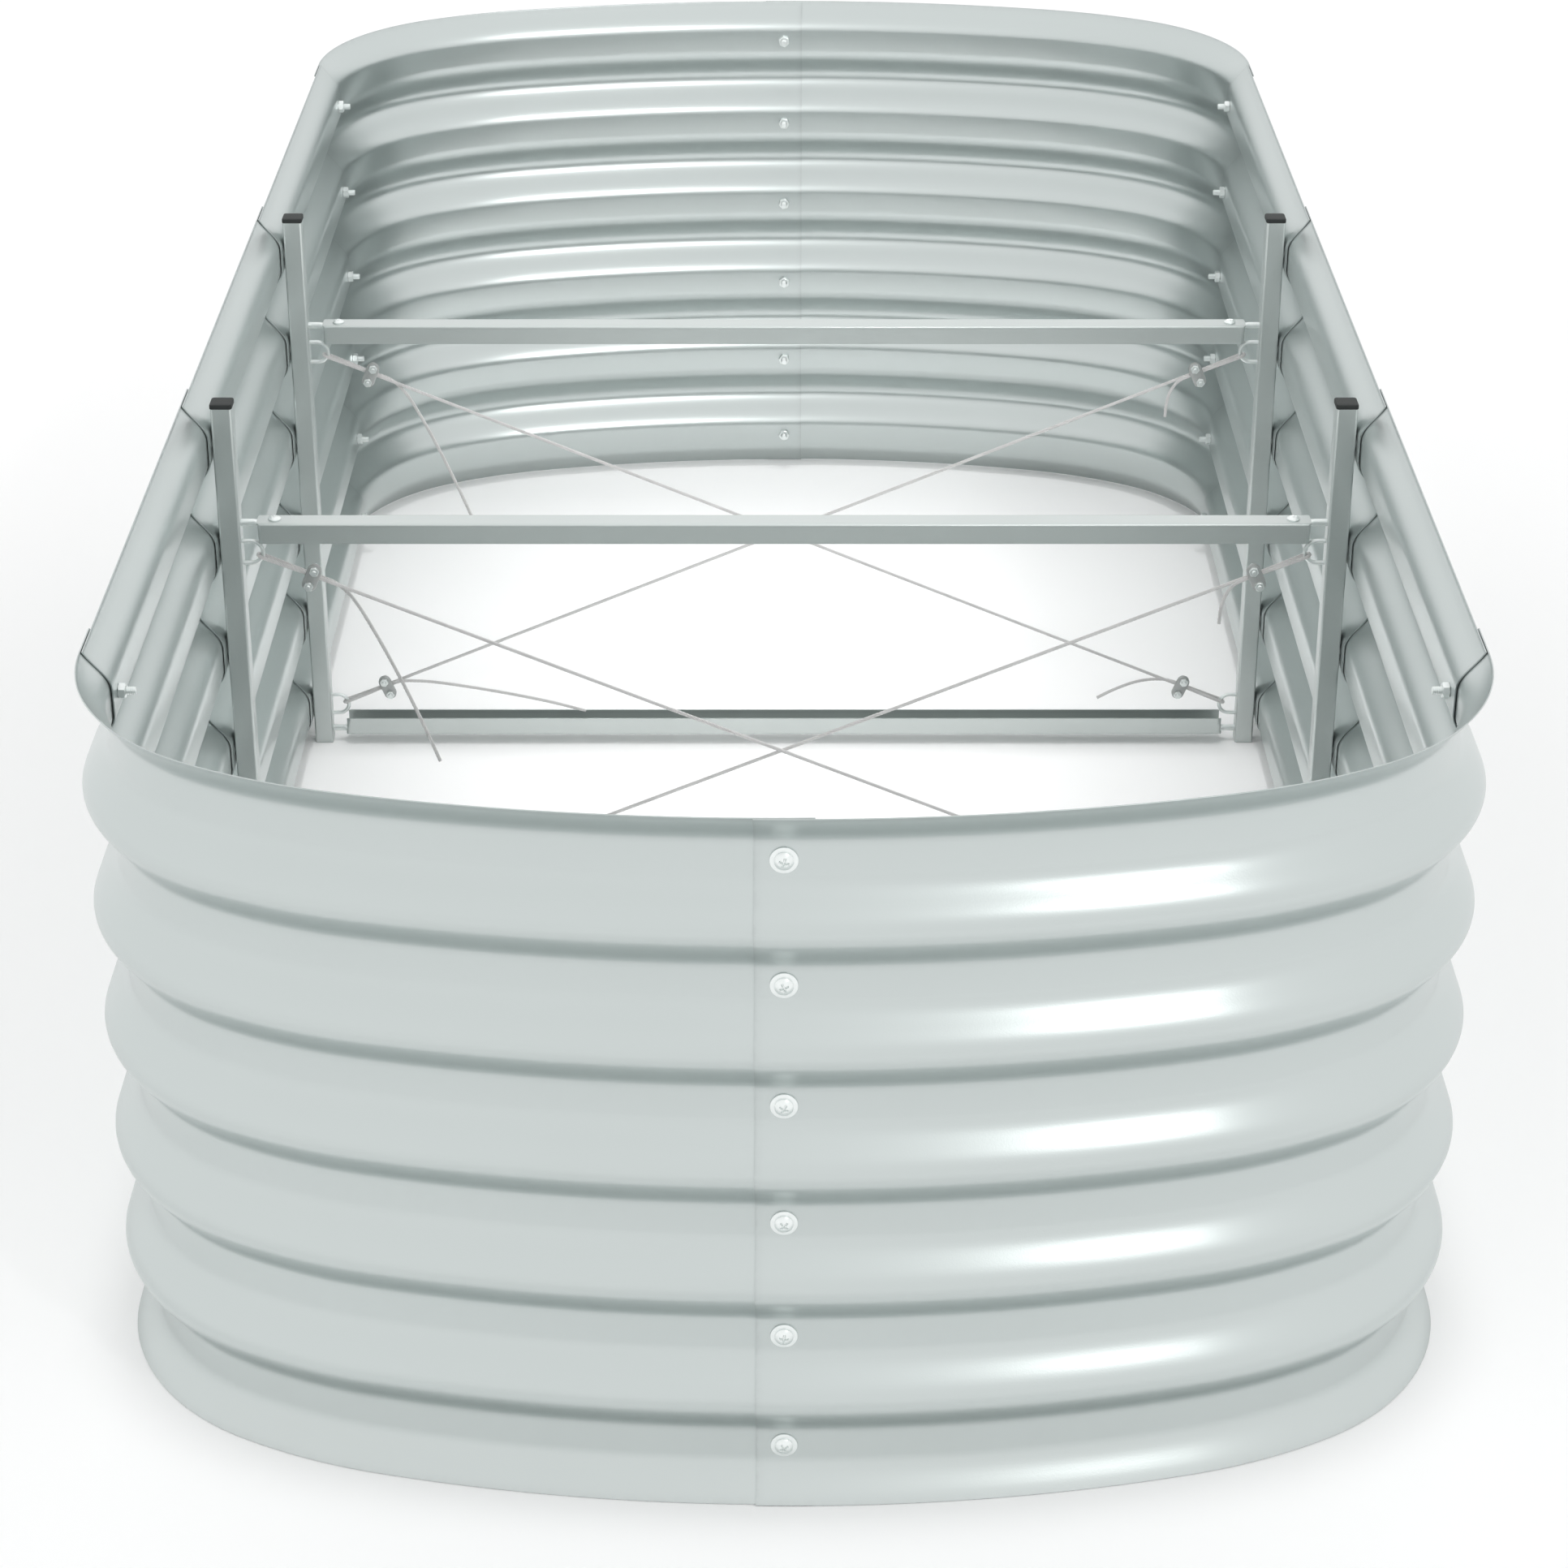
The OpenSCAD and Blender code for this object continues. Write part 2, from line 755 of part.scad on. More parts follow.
// A clip's rod: two legs through the saddle and a straight back with round bends
module clip_u_bolts() {
    leg_from = clip_rod_y - clip_bend;
    leg_to = -(saddle_y + saddle_t + seat_gap + clip_nut_h + clip_tip);
    back = clip_pitch - 2 * clip_bend;
    color(zinc_colour)
        at_clips()
            union() {
                for (end = [-1, 1])
                    scale([1, 1, end]) {
                        translate([0, leg_from, clip_pitch / 2])
                            rotate([90, 0, 0])
                                cylinder(h = leg_from - leg_to, d = clip_rod, $fn = round_facets);
                        translate([0, leg_from, clip_pitch / 2 - clip_bend])
                            rotate([90, 0, 90])
                                rotate_extrude(angle = 90, $fn = round_facets)
                                    translate([clip_bend, 0])
                                        circle(d = clip_rod, $fn = round_facets);
                    }
                translate([0, clip_rod_y, -back / 2])
                    cylinder(h = back, d = clip_rod, $fn = round_facets);
            }
}

module clip_nuts() {
    color(zinc_colour)
        at_clips()
            for (end = [-1, 1])
                translate([0, -saddle_y - saddle_t - seat_gap, end * clip_pitch / 2])
                    rotate([90, 0, 0])
                        nut(clip_nut_flats, clip_nut_h, clip_rod);
}

// A round tube along a route that lies in one plane, whose normal is given
module tube(route, normal, d) {
    last = len(route) - 1;
    n = rope_sides;
    rings = [
        for (i = [0 : last])
            let (
                along = route[min(last, i + 1)] - route[max(0, i - 1)],
                t = along / norm(along),
                b = cross(t, normal)
            )
            for (j = [0 : n - 1])
                route[i] + d / 2 * (cos(360 * j / n) * normal + sin(360 * j / n) * b)
    ];
    skin = [
        for (i = [0 : last - 1], j = [0 : n - 1])
            let (
                low = i * n + j,
                low_next = i * n + (j + 1) % n,
                high = low + n,
                high_next = low_next + n
            )
            each [[low, high, high_next], [low, high_next, low_next]]
    ];
    start_cap = [[for (j = [0 : n - 1]) j]];
    end_cap = [[for (j = [n - 1 : -1 : 0]) last * n + j]];
    polyhedron(points = rings, faces = concat(start_cap, skin, end_cap));
}

// One end of a rope, as distances along the rope and across it: it comes back from the
// clip, goes round the eye loop and runs out again
rope_end = concat(
    [[doubled_end, strand_y], [doubled_start, strand_y]],
    [for (k = [0 : bend_steps])
        let (a = bend_from + (360 - 2 * bend_from) * k / bend_steps)
        rope_bend * [cos(a), sin(a)]],
    [[doubled_start, -strand_y]]
);

// A wire rope between an upper eye loop on one side and a lower one on the other. Its
// taut strand is on the given side of the posts' middle plane
module wire_rope(upper_side, far, strand_side) {
    slope = rope_slope(far);
    run = [-upper_side * cos(slope), 0, -sin(slope)];
    normal = [-upper_side * sin(slope), 0, cos(slope)];
    upper = [upper_side * eye_x(far), far * post_y, eye_z(UPPER)] + eye_bend * run;
    lower = [-upper_side * eye_x(far), far * post_y, eye_z(LOWER)] - eye_bend * run;
    across = [0, -strand_side, 0];
    last = len(rope_end) - 1;
    route = concat(
        [for (p = rope_end) upper + p.x * run + p.y * across],
        [for (k = [last : -1 : 0]) lower - rope_end[k].x * run + rope_end[k].y * across]
    );
    color(rope_colour)
        tube(route, normal, rope_d);
}

// A smooth curve through the points of a route
function curve_point(p, q, r, s, t) = (
    2 * q
    + (r - p) * t
    + (2 * p - 5 * q + 4 * r - s) * t * t
    + (3 * q - p - 3 * r + s) * t * t * t
) / 2;
function smooth(route, steps) =
    let (last = len(route) - 1)
    concat(
        [for (i = [0 : last - 1], k = [0 : steps - 1])
            curve_point(route[max(0, i - 1)], route[i], route[i + 1],
                route[min(last, i + 2)], k / steps)],
        [route[last]]
    );

// A free rope tail, from the end of the doubled part
module rope_tail(side, far, level, offsets, strand_side) {
    slope = rope_slope(far);
    reach = eye_bend + doubled_end;
    start = [
        side * (eye_x(far) - reach * cos(slope)),
        far * post_y - strand_side * strand_y,
        eye_z(level) - level * reach * sin(slope)
    ];
    route = [for (p = offsets) start + [-side * p.x, 0, p.y]];
    color(rope_colour)
        tube(smooth(route, tail_steps), [0, 1, 0], rope_d);
}

module corner_panel_near_left() corner_panel(LEFT, NEAR, near_corner_layer, left_end_layer);
module corner_panel_near_right() corner_panel(RIGHT, NEAR, near_corner_layer, right_end_layer);
module corner_panel_far_left() corner_panel(LEFT, FAR, far_corner_layer, left_end_layer);
module corner_panel_far_right() corner_panel(RIGHT, FAR, far_corner_layer, right_end_layer);
module side_panel_near_left() side_panel(LEFT, near_side_layer, -corner_seam_y, -post_y);
module side_panel_near_right() side_panel(RIGHT, near_side_layer, -corner_seam_y, -post_y);
module side_panel_middle_left() side_panel(LEFT, middle_layer, -post_y, post_y);
module side_panel_middle_right() side_panel(RIGHT, middle_layer, -post_y, post_y);
module side_panel_far_left() side_panel(LEFT, far_side_layer, post_y, corner_seam_y);
module side_panel_far_right() side_panel(RIGHT, far_side_layer, post_y, corner_seam_y);
module post_near_left() post(LEFT, NEAR);
module post_near_right() post(RIGHT, NEAR);
module post_far_left() post(LEFT, FAR);
module post_far_right() post(RIGHT, FAR);
module post_cap_near_left() post_cap(LEFT, NEAR);
module post_cap_near_right() post_cap(RIGHT, NEAR);
module post_cap_far_left() post_cap(LEFT, FAR);
module post_cap_far_right() post_cap(RIGHT, FAR);
module upper_cross_bar_near() cross_bar(NEAR, UPPER);
module upper_cross_bar_far() cross_bar(FAR, UPPER);
module lower_cross_bar_near() cross_bar(NEAR, LOWER);
module lower_cross_bar_far() cross_bar(FAR, LOWER);

// A falling rope starts at the upper left eye, a rising one ends at the upper right eye.
// Their taut strands pass each other on opposite sides of the posts' middle plane
FRONT = -1;
BACK = 1;
module wire_rope_near_falling() wire_rope(LEFT, NEAR, FRONT);
module wire_rope_near_rising() wire_rope(RIGHT, NEAR, BACK);
module wire_rope_far_falling() wire_rope(LEFT, FAR, FRONT);
module wire_rope_far_rising() wire_rope(RIGHT, FAR, BACK);
module rope_tail_near_upper_left() rope_tail(LEFT, NEAR, UPPER, tail_upper_left, FRONT);
module rope_tail_near_upper_right() rope_tail(RIGHT, NEAR, UPPER, tail_upper_right, BACK);
module rope_tail_near_lower_left() rope_tail(LEFT, NEAR, LOWER, tail_lower_left, BACK);
module rope_tail_near_lower_right() rope_tail(RIGHT, NEAR, LOWER, tail_lower_right, FRONT);
module rope_tail_far_upper_left() rope_tail(LEFT, FAR, UPPER, tail_upper_left, FRONT);
module rope_tail_far_upper_right() rope_tail(RIGHT, FAR, UPPER, tail_upper_right, BACK);
module rope_tail_far_lower_left() rope_tail(LEFT, FAR, LOWER, tail_lower_left, BACK);
module rope_tail_far_lower_right() rope_tail(RIGHT, FAR, LOWER, tail_lower_right, FRONT);

corner_panel_near_left();
corner_panel_near_right();
corner_panel_far_left();
corner_panel_far_right();
side_panel_near_left();
side_panel_near_right();
side_panel_middle_left();
side_panel_middle_right();
side_panel_far_left();
side_panel_far_right();
post_near_left();
post_near_right();
post_far_left();
post_far_right();
post_cap_near_left();
post_cap_near_right();
post_cap_far_left();
post_cap_far_right();
upper_cross_bar_near();
upper_cross_bar_far();
lower_cross_bar_near();
lower_cross_bar_far();
wire_rope_near_falling();
wire_rope_near_rising();
wire_rope_far_falling();
wire_rope_far_rising();
rope_tail_near_upper_left();
rope_tail_near_upper_right();
rope_tail_near_lower_left();
rope_tail_near_lower_right();
rope_tail_far_upper_left();
rope_tail_far_upper_right();
rope_tail_far_lower_left();
rope_tail_far_lower_right();
seam_bolts();
seam_washers();
seam_nuts();
post_bolts();
post_washers();
rivet_nuts();
bar_studs();
stud_nuts();
bar_screws();
bar_screw_nuts();
eye_loops();
eye_nuts();
clip_saddles();
clip_u_bolts();
clip_nuts();
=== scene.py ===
"""Builds the look of a raised garden bed of corrugated steel around its CAD frame.

Lengths are in metres. X runs across the bed, Y along it and Z up, with the origin on
the ground at the middle of the bed.
"""

import math
from types import SimpleNamespace

import bmesh
import bpy
import numpy as np
from bpy.props import FloatProperty, FloatVectorProperty, IntProperty, PointerProperty
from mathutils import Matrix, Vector


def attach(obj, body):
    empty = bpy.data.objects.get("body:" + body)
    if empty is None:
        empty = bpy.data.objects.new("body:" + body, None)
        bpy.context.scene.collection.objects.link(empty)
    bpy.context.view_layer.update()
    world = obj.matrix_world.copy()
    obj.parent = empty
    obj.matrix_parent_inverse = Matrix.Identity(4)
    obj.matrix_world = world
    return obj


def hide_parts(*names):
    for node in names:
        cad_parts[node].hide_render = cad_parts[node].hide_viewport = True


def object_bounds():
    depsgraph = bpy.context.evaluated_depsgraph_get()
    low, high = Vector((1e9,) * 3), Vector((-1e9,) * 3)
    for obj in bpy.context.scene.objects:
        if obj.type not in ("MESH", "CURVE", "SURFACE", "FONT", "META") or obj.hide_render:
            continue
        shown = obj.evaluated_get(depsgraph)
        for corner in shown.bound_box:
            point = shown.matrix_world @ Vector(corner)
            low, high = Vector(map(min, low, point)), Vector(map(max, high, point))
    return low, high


bl_info = {
    "name": "Raised Garden Bed",
    "version": (1, 0, 0),
    "blender": (4, 5, 0),
    "location": "View3D > Sidebar > Garden Bed",
    "description": "Corrugated steel bed with posts, cross bars and crossed wire ropes",
    "category": "Add Mesh",
}

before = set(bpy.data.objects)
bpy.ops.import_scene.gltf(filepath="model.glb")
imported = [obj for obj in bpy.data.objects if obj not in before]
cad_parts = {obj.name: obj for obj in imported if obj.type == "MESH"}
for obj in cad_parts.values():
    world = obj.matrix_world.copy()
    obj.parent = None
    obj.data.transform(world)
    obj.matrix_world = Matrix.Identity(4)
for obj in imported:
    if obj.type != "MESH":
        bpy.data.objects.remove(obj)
BOX_LOW, BOX_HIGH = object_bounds()

LEFT, RIGHT = -1, 1
NEAR, FAR = -1, 1
UPPER, LOWER = 1, -1
SIDE_NAMES = {LEFT: "left", RIGHT: "right"}
END_NAMES = {NEAR: "near", FAR: "far"}
LEVEL_NAMES = {UPPER: "upper", LOWER: "lower"}
QUARTERS = [(far, side) for far in (NEAR, FAR) for side in (LEFT, RIGHT)]
BAR_ENDS = [(side, far, level) for side in (LEFT, RIGHT) for far in (NEAR, FAR)
            for level in (UPPER, LOWER)]

# Lapped panels lie in layers, counted outward from the innermost
SIDE_LAYERS = {"near": 2, "middle": 1, "far": 0}
CORNER_LAYERS = {NEAR: 3, FAR: 1}
END_LAYERS = {LEFT: 0, RIGHT: 1}
POST_LAYERS = {NEAR: (1, 2), FAR: (0, 1)}  # the two side panels that meet at a post

# Fits, as air on the diameter or under a nut
SEAT_GAP = 0.00005
BORE_GAP = 0.0002
WASHER_GAP = 0.0006
PLUG_GAP = 0.0004
COUNTERSINK = 0.0004

# Threads: how far they show past a nut, and their pitches
THREAD_END = 0.002
EYE_THREAD_END = 0.001
BOLT_PITCH = 0.00125
SCREW_PITCH = 0.001
CLIP_PITCH = 0.0008
CLIP_THREAD = 0.0050
CLIP_ROD_END = 0.0035  # the plain rod ends this far before the thread's tip

# Cross recess of the pan heads, with sloping walls
RECESS_WIDTH = 0.0016
RECESS_SLOPE = 0.0004
RECESS_END_SLOPE = 0.0006
RECESS_DEPTH = 0.42  # share of the head's height

# Mesh of the wall panels: rows close up at their free edges, where the coat wears
BLEND_STEPS = 12
RIM_CLEAR = 0.0015
EDGE_STEPS = (0, 0.001, 0.003, 0.008)
EDGE_REACH = 0.02
END_WEAR = 0.0025
RIM_WEAR = 0.002

# Angles in degrees over which an edge is drawn sharp
PIECE_ANGLE = 35
NUT_ANGLE = 20
ROPE_ANGLE = 75

# Axes for parts that are drawn upright: as they are, head down, or pointing at -Y
UPRIGHT = ((1, 0, 0), (0, 1, 0), (0, 0, 1))
DOWNWARD = ((1, 0, 0), (0, -1, 0), (0, 0, -1))
TOWARD_NEAR = ((1, 0, 0), (0, 0, 1), (0, -1, 0))

# Routes of the free rope tails, inward and up from the clip, as in the part's source
TAIL_ROUTES = {
    (UPPER, LEFT): [
        (0, 0), (0.017, -0.008), (0.033, -0.025), (0.049, -0.054), (0.067, -0.092),
        (0.085, -0.134), (0.101, -0.174), (0.116, -0.215),
    ],
    (UPPER, RIGHT): [
        (0, 0), (0.014, -0.007), (0.023, -0.020), (0.027, -0.036), (0.028, -0.052),
    ],
    (LOWER, LEFT): [
        (0, 0), (0.012, 0.003), (0.030, 0.003), (0.054, 0.001), (0.098, -0.006),
        (0.150, -0.016), (0.198, -0.027), (0.236, -0.038),
    ],
    (LOWER, RIGHT): [
        (0, 0), (0.012, 0.003), (0.030, 0.003), (0.050, -0.001), (0.074, -0.011),
        (0.094, -0.022),
    ],
}

CAMERA_PLACE = (0, -3.8, 2.0348)
CAMERA_PITCH = 27.13  # degrees below the level
CAMERA_LENS = 84.47
FLOOR_HALF = 30
FLOOR_DROP = 0.0005
SKY_STRENGTH = 1.07

# Studio lights: place, aim, width, height, power, spread in degrees, seen in gloss
LIGHTS = {
    "key": ((2.0, -3.9, 3.7), (0.2, -1.0, 0.4), 0.16, 0.16, 12, 180, True),
    "overhead": ((0, 0, 5), (0, 0, 0), 1.1, 2.3, 3.4, 14, False),
    "accent": ((1.7, -4.2, 3.6), (-0.2, 1.2, 0.4), 0.4, 0.3, 1.0, 22, True),
    "front": ((0.3, -5.6, 4.2), (0, 1.25, 0.4), 1.2, 1.0, 0.74, 9, False),
}


def length_prop(name, description, default):
    """A length of the bed, shown in the scene's unit."""
    return FloatProperty(name=name, description=description, default=default,
                         min=0, subtype="DISTANCE", unit="LENGTH", precision=4)


def colour_prop(name, description, default):
    """A finish colour, in linear light."""
    return FloatVectorProperty(name=name, description=description, default=default,
                               size=3, min=0, max=1, subtype="COLOR")


class BedSizes(bpy.types.PropertyGroup):
    """Sizes of the bed and its fittings"""

    length: length_prop("Length", "Over the crests of the end walls",
                        round(BOX_HIGH.y - BOX_LOW.y, 4))
    width: length_prop("Width", "Over the crests of the side walls",
                       round(BOX_HIGH.x - BOX_LOW.x, 4))
    height: length_prop("Height", "Height of the walls", round(BOX_HIGH.z, 4))
    sheet: length_prop("Sheet", "Thickness of the steel sheet", 0.0012)
    wave_depth: length_prop("Wave depth", "Corrugation, from crest to valley", 0.026)
    lap_gap: length_prop("Lap gap", "Air between two lapped sheets", 0.0005)
    rows: IntProperty(name="Rows", description="Valleys, each with its bolts",
                      default=6, min=2)
    edge_to_row: length_prop("Edge to row", "From a rim to the nearest bolts", 0.049)
    valley_land: length_prop("Valley land", "Flat part of a valley", 0.0245)
    end_radius: length_prop("End radius", "End wall, seen from above", 1.45)
    shoulder_radius: length_prop("Shoulder radius", "Between end and corner", 0.5)
    corner_radius: length_prop("Corner radius", "Corner into the side wall", 0.25)
    shoulder_angle: FloatProperty(name="Shoulder angle",
                                  description="Where the shoulder meets the corner",
                                  default=math.radians(30), subtype="ANGLE",
                                  unit="ROTATION")
    seam_lap: length_prop("Seam lap", "Reach of a panel past its bolts", 0.025)
    post_spacing: length_prop("Post spacing", "Between the pairs of posts", 0.59)
    bolt: length_prop("Bolt", "Diameter of a seam bolt", 0.008)
    bolt_head: length_prop("Bolt head", "Diameter of its head", 0.016)
    bolt_head_height: length_prop("Bolt head height", "Height of its head", 0.005)
    bolt_length: length_prop("Bolt length", "Under the head, plain seam", 0.020)
    post_bolt_length: length_prop("Post bolt length", "Under the head, at a post",
                                  0.016)
    washer: length_prop("Washer", "Diameter of a washer", 0.0235)
    washer_thickness: length_prop("Washer thickness", "Of a seam washer", 0.0016)
    nut_flats: length_prop("Nut", "Across the flats", 0.013)
    nut_height: length_prop("Nut height", "Height of a seam nut", 0.0065)
    rivet_flange: length_prop("Rivet flange", "Thickness of a rivet nut's flange",
                              0.0008)
    post: length_prop("Post", "Width of the square tube", 0.022)
    post_corner: length_prop("Post corner", "Outer corner radius of the tube", 0.0024)
    post_wall: length_prop("Post wall", "Wall of the tube", 0.0015)
    cap_drop: length_prop("Cap drop", "From the rim to a cap's top", 0.004)
    cap_rim: length_prop("Cap rim", "Height of a cap's rim", 0.005)
    cap_plug: length_prop("Cap plug", "Length of a cap's plug", 0.014)
    cap_overhang: length_prop("Cap overhang", "Rim past the tube", 0.0004)
    upper_bar_top: length_prop("Upper bar", "Top of an upper cross bar", 0.546)
    lower_bar_bottom: length_prop("Lower bar", "Bottom of a lower bar", 0.012)
    bar_height: length_prop("Bar height", "Height of a cross bar", 0.022)
    bar_wall: length_prop("Bar wall", "Wall of a cross bar", 0.002)
    bar_end_gap: length_prop("Bar end gap", "From a bar to its post", 0.017)
    stud: length_prop("Stud", "Diameter of a bar's stud", 0.0075)
    blade_thickness: length_prop("Blade thickness", "Of a stud's blade", 0.003)
    blade_width: length_prop("Blade width", "Of a stud's blade", 0.014)
    screw_setback: length_prop("Screw setback", "From a post to the screw", 0.035)
    screw: length_prop("Screw", "Diameter of a bar's screw", 0.006)
    screw_head: length_prop("Screw head", "Diameter of its head", 0.0135)
    screw_head_height: length_prop("Screw head height", "Of its head", 0.004)
    screw_nut_flats: length_prop("Screw nut", "Across the flats", 0.010)
    screw_nut_height: length_prop("Screw nut height", "Of a screw's nut", 0.005)
    eye_rod: length_prop("Eye rod", "Diameter of an eye loop's rod", 0.0045)
    eye_pitch: length_prop("Eye pitch", "Between an eye loop's legs", 0.0245)
    eye_reach: length_prop("Eye reach", "From the post", 0.023)
    eye_offset: length_prop("Eye offset", "From a bar's open edge", 0.0145)
    eye_nut_flats: length_prop("Eye nut", "Across the flats", 0.008)
    eye_nut_height: length_prop("Eye nut height", "Of an eye loop's nut", 0.0032)
    rope: length_prop("Rope", "Diameter of the wire rope", 0.004)
    rope_gap: length_prop("Rope gap", "Between two strands", 0.0004)
    rope_lay: length_prop("Rope lay", "Length of one turn of a strand", 0.026)
    clip_distance: length_prop("Clip distance", "From an eye to its clip", 0.055)
    saddle_length: length_prop("Saddle length", "Square to the rope", 0.031)
    saddle_width: length_prop("Saddle width", "Along the rope", 0.015)
    saddle_thickness: length_prop("Saddle thickness", "Of a rope clip", 0.006)
    saddle_edge: length_prop("Saddle edge", "Rounding of its edges", 0.0011)
    clip_pitch: length_prop("Clip pitch", "Between a clip's legs", 0.018)
    clip_rod: length_prop("Clip rod", "Diameter of a clip's rod", 0.005)
    clip_bend: length_prop("Clip bend", "Radius of its two bends", 0.004)
    clip_nut_flats: length_prop("Clip nut", "Across the flats", 0.009)
    clip_nut_height: length_prop("Clip nut height", "Of a clip's nut", 0.004)


class BedColours(bpy.types.PropertyGroup):
    """Colours of the bed's finishes"""

    wall_coat: colour_prop("Wall coat", "Satin coat of the panels",
                           (0.575, 0.621, 0.614))
    tube_coat: colour_prop("Tube coat", "Satin coat of posts and bars",
                           (0.60, 0.642, 0.632))
    black_plastic: colour_prop("Cap plastic", "Matt plastic of the caps",
                               (0.009, 0.012, 0.0115))
    rope_steel: colour_prop("Rope steel", "Galvanised wire", (0.86, 0.85, 0.845))
    zinc_plate: colour_prop("Zinc plate", "Bolts, washers, nuts and clips",
                            (0.88, 0.92, 0.91))
    worn_edge: colour_prop("Worn edge", "Bare metal at the sheet's edges",
                           (0.42, 0.45, 0.45))
    dust: colour_prop("Dust", "Dry soil dust near the ground", (0.46, 0.42, 0.36))
    cast_zinc: colour_prop("Cast zinc", "Duller saddles of the rope clips",
                           (0.50, 0.515, 0.51))
    floor: colour_prop("Floor", "Studio floor", (0.975, 0.975, 0.975))


def bed_layout(context):
    """The bed's sizes, and the places that follow from them as in the part's source."""
    s = context.scene.bed_sizes
    row_pitch = (s.height - 2 * s.edge_to_row) / (s.rows - 1)
    blend = (row_pitch - s.valley_land) / 2
    steepest = math.pi * s.wave_depth / (2 * blend)
    step = s.sheet * math.hypot(1, steepest) + s.lap_gap
    crest_x = s.width / 2 - s.sheet / 2 - CORNER_LAYERS[NEAR] * step
    crest_y = s.length / 2 - s.sheet / 2 - END_LAYERS[RIGHT] * step
    to_shoulder = s.end_radius - s.shoulder_radius  # from one arc's centre to the next
    to_corner = s.shoulder_radius - s.corner_radius
    shoulder_x = crest_x - s.corner_radius - to_corner * math.sin(s.shoulder_angle)
    end_angle = math.asin(shoulder_x / to_shoulder)
    shoulder = (shoulder_x,
                crest_y - s.end_radius + to_shoulder * math.cos(end_angle))
    corner = (crest_x - s.corner_radius,
              shoulder[1] + to_corner * math.cos(s.shoulder_angle))
    place = SimpleNamespace(
        blend=blend, steepest=steepest, step=step, crest_x=crest_x, crest_y=crest_y,
        end_angle=end_angle, shoulder=shoulder, corner=corner,
        seam_y=corner[1] - s.seam_lap, post_y=s.post_spacing / 2,
        grip=step + s.sheet, eye_bend=s.eye_pitch / 2,
        row_z=[s.edge_to_row + i * row_pitch for i in range(s.rows)],
        post_top=s.height - s.cap_drop - s.cap_rim,
        strand_y=(s.rope + s.rope_gap) / 2,
        rope_bend=(s.eye_rod + s.rope) / 2 + s.rope_gap,
        doubled_end=s.clip_distance + s.saddle_width / 2 + s.rope_gap,
        doubled_start=s.clip_distance - s.saddle_width / 2 - s.rope_gap,
    )
    place.valley_x = lambda layer: crest_x + layer * step - s.wave_depth
    place.valley_y = lambda layer: crest_y + layer * step - s.wave_depth
    place.post_outer = lambda far: (
        place.valley_x(POST_LAYERS[far][0]) - s.sheet / 2 - s.rivet_flange)
    place.post_inner = lambda far: place.post_outer(far) - s.post
    place.bar_web = lambda level: (
        s.upper_bar_top if level == UPPER else s.lower_bar_bottom)
    place.blade_z = lambda level: (
        place.bar_web(level) - level * (s.bar_wall + s.blade_thickness / 2))
    place.eye_z = lambda level: (
        place.bar_web(level) - level * (s.bar_height + s.eye_offset))
    place.eye_x = lambda far: (
        place.post_inner(far) - s.eye_reach + s.eye_rod / 2 + place.eye_bend)
    place.slope = lambda far: math.atan2(place.eye_z(UPPER) - place.eye_z(LOWER),
                                         2 * place.eye_x(far))
    return s, place


# Mesh helpers: a part is a pair of points and faces


def joined(parts):
    """One part out of several."""
    verts, faces, start = [], [], 0
    for points, polygons in parts:
        verts.append(np.asarray(points, float))
        faces.extend([[i + start for i in polygon] for polygon in polygons])
        start += len(points)
    return np.vstack(verts), faces


def placed(part, origin, x_axis, y_axis, z_axis):
    """A part moved so that its own axes lie along the given ones."""
    axes = np.array([x_axis, y_axis, z_axis], float)
    return np.asarray(part[0], float) @ axes + np.asarray(origin, float), part[1]


def copies(part, spots):
    """One part out of copies, each at an origin and axes."""
    return joined([placed(part, *at) for at in spots])


def turned_about(part, angle):
    """A part turned about its own Z."""
    c, n = math.cos(angle), math.sin(angle)
    return placed(part, (0, 0, 0), (c, n, 0), (-n, c, 0), (0, 0, 1))


def full_turn(count):
    """Even angles round a circle."""
    return np.arange(count) * 2 * math.pi / count


def ring(radius, angles, height):
    """Points round Z, with one radius and height or one of each for every point."""
    heights = np.broadcast_to(height, angles.shape)
    return np.stack([radius * np.cos(angles), radius * np.sin(angles), heights], 1)


def ring_skin(rings, count, ends="filled"):
    """Faces between rings of points, with the ends filled, open or joined up."""
    faces = [
        [i * count + j, i * count + (j + 1) % count,
         (i + 1) * count + (j + 1) % count, (i + 1) * count + j]
        for i in range(rings - 1) for j in range(count)
    ]
    last = (rings - 1) * count
    if ends == "filled":
        faces.append(list(range(count)))
        faces.append([last + j for j in range(count)])
    elif ends == "joined":
        faces += [[last + j, last + (j + 1) % count, (j + 1) % count, j]
                  for j in range(count)]
    return faces


def path_directions(points, normal):
    """Unit steps along a path, and across it in the plane square to the normal."""
    along = np.gradient(points, axis=0)
    along /= np.linalg.norm(along, axis=1)[:, None]
    return along, np.cross(along, normal)


def rod(centres, radius, sides, first, second):
    """A round rod about a line of centres, from two directions square to it."""
    angles = full_turn(sides)
    rings = (centres[:, None, :]
             + radius * np.cos(angles)[None, :, None] * first[..., None, :]
             + radius * np.sin(angles)[None, :, None] * second[..., None, :])
    return rings.reshape(-1, 3), ring_skin(len(centres), sides)


def bent_rod(path, radius, sides, normal):
    """A round rod along a path that lies in the plane square to the normal."""
    path, normal = np.asarray(path, float), np.asarray(normal, float)
    return rod(path, radius, sides, normal, path_directions(path, normal)[1])


def path_reach(path):
    """Distance of each point from the start of a path."""
    runs = np.linalg.norm(np.diff(path, axis=0), axis=1)
    return np.concatenate([[0], np.cumsum(runs)])


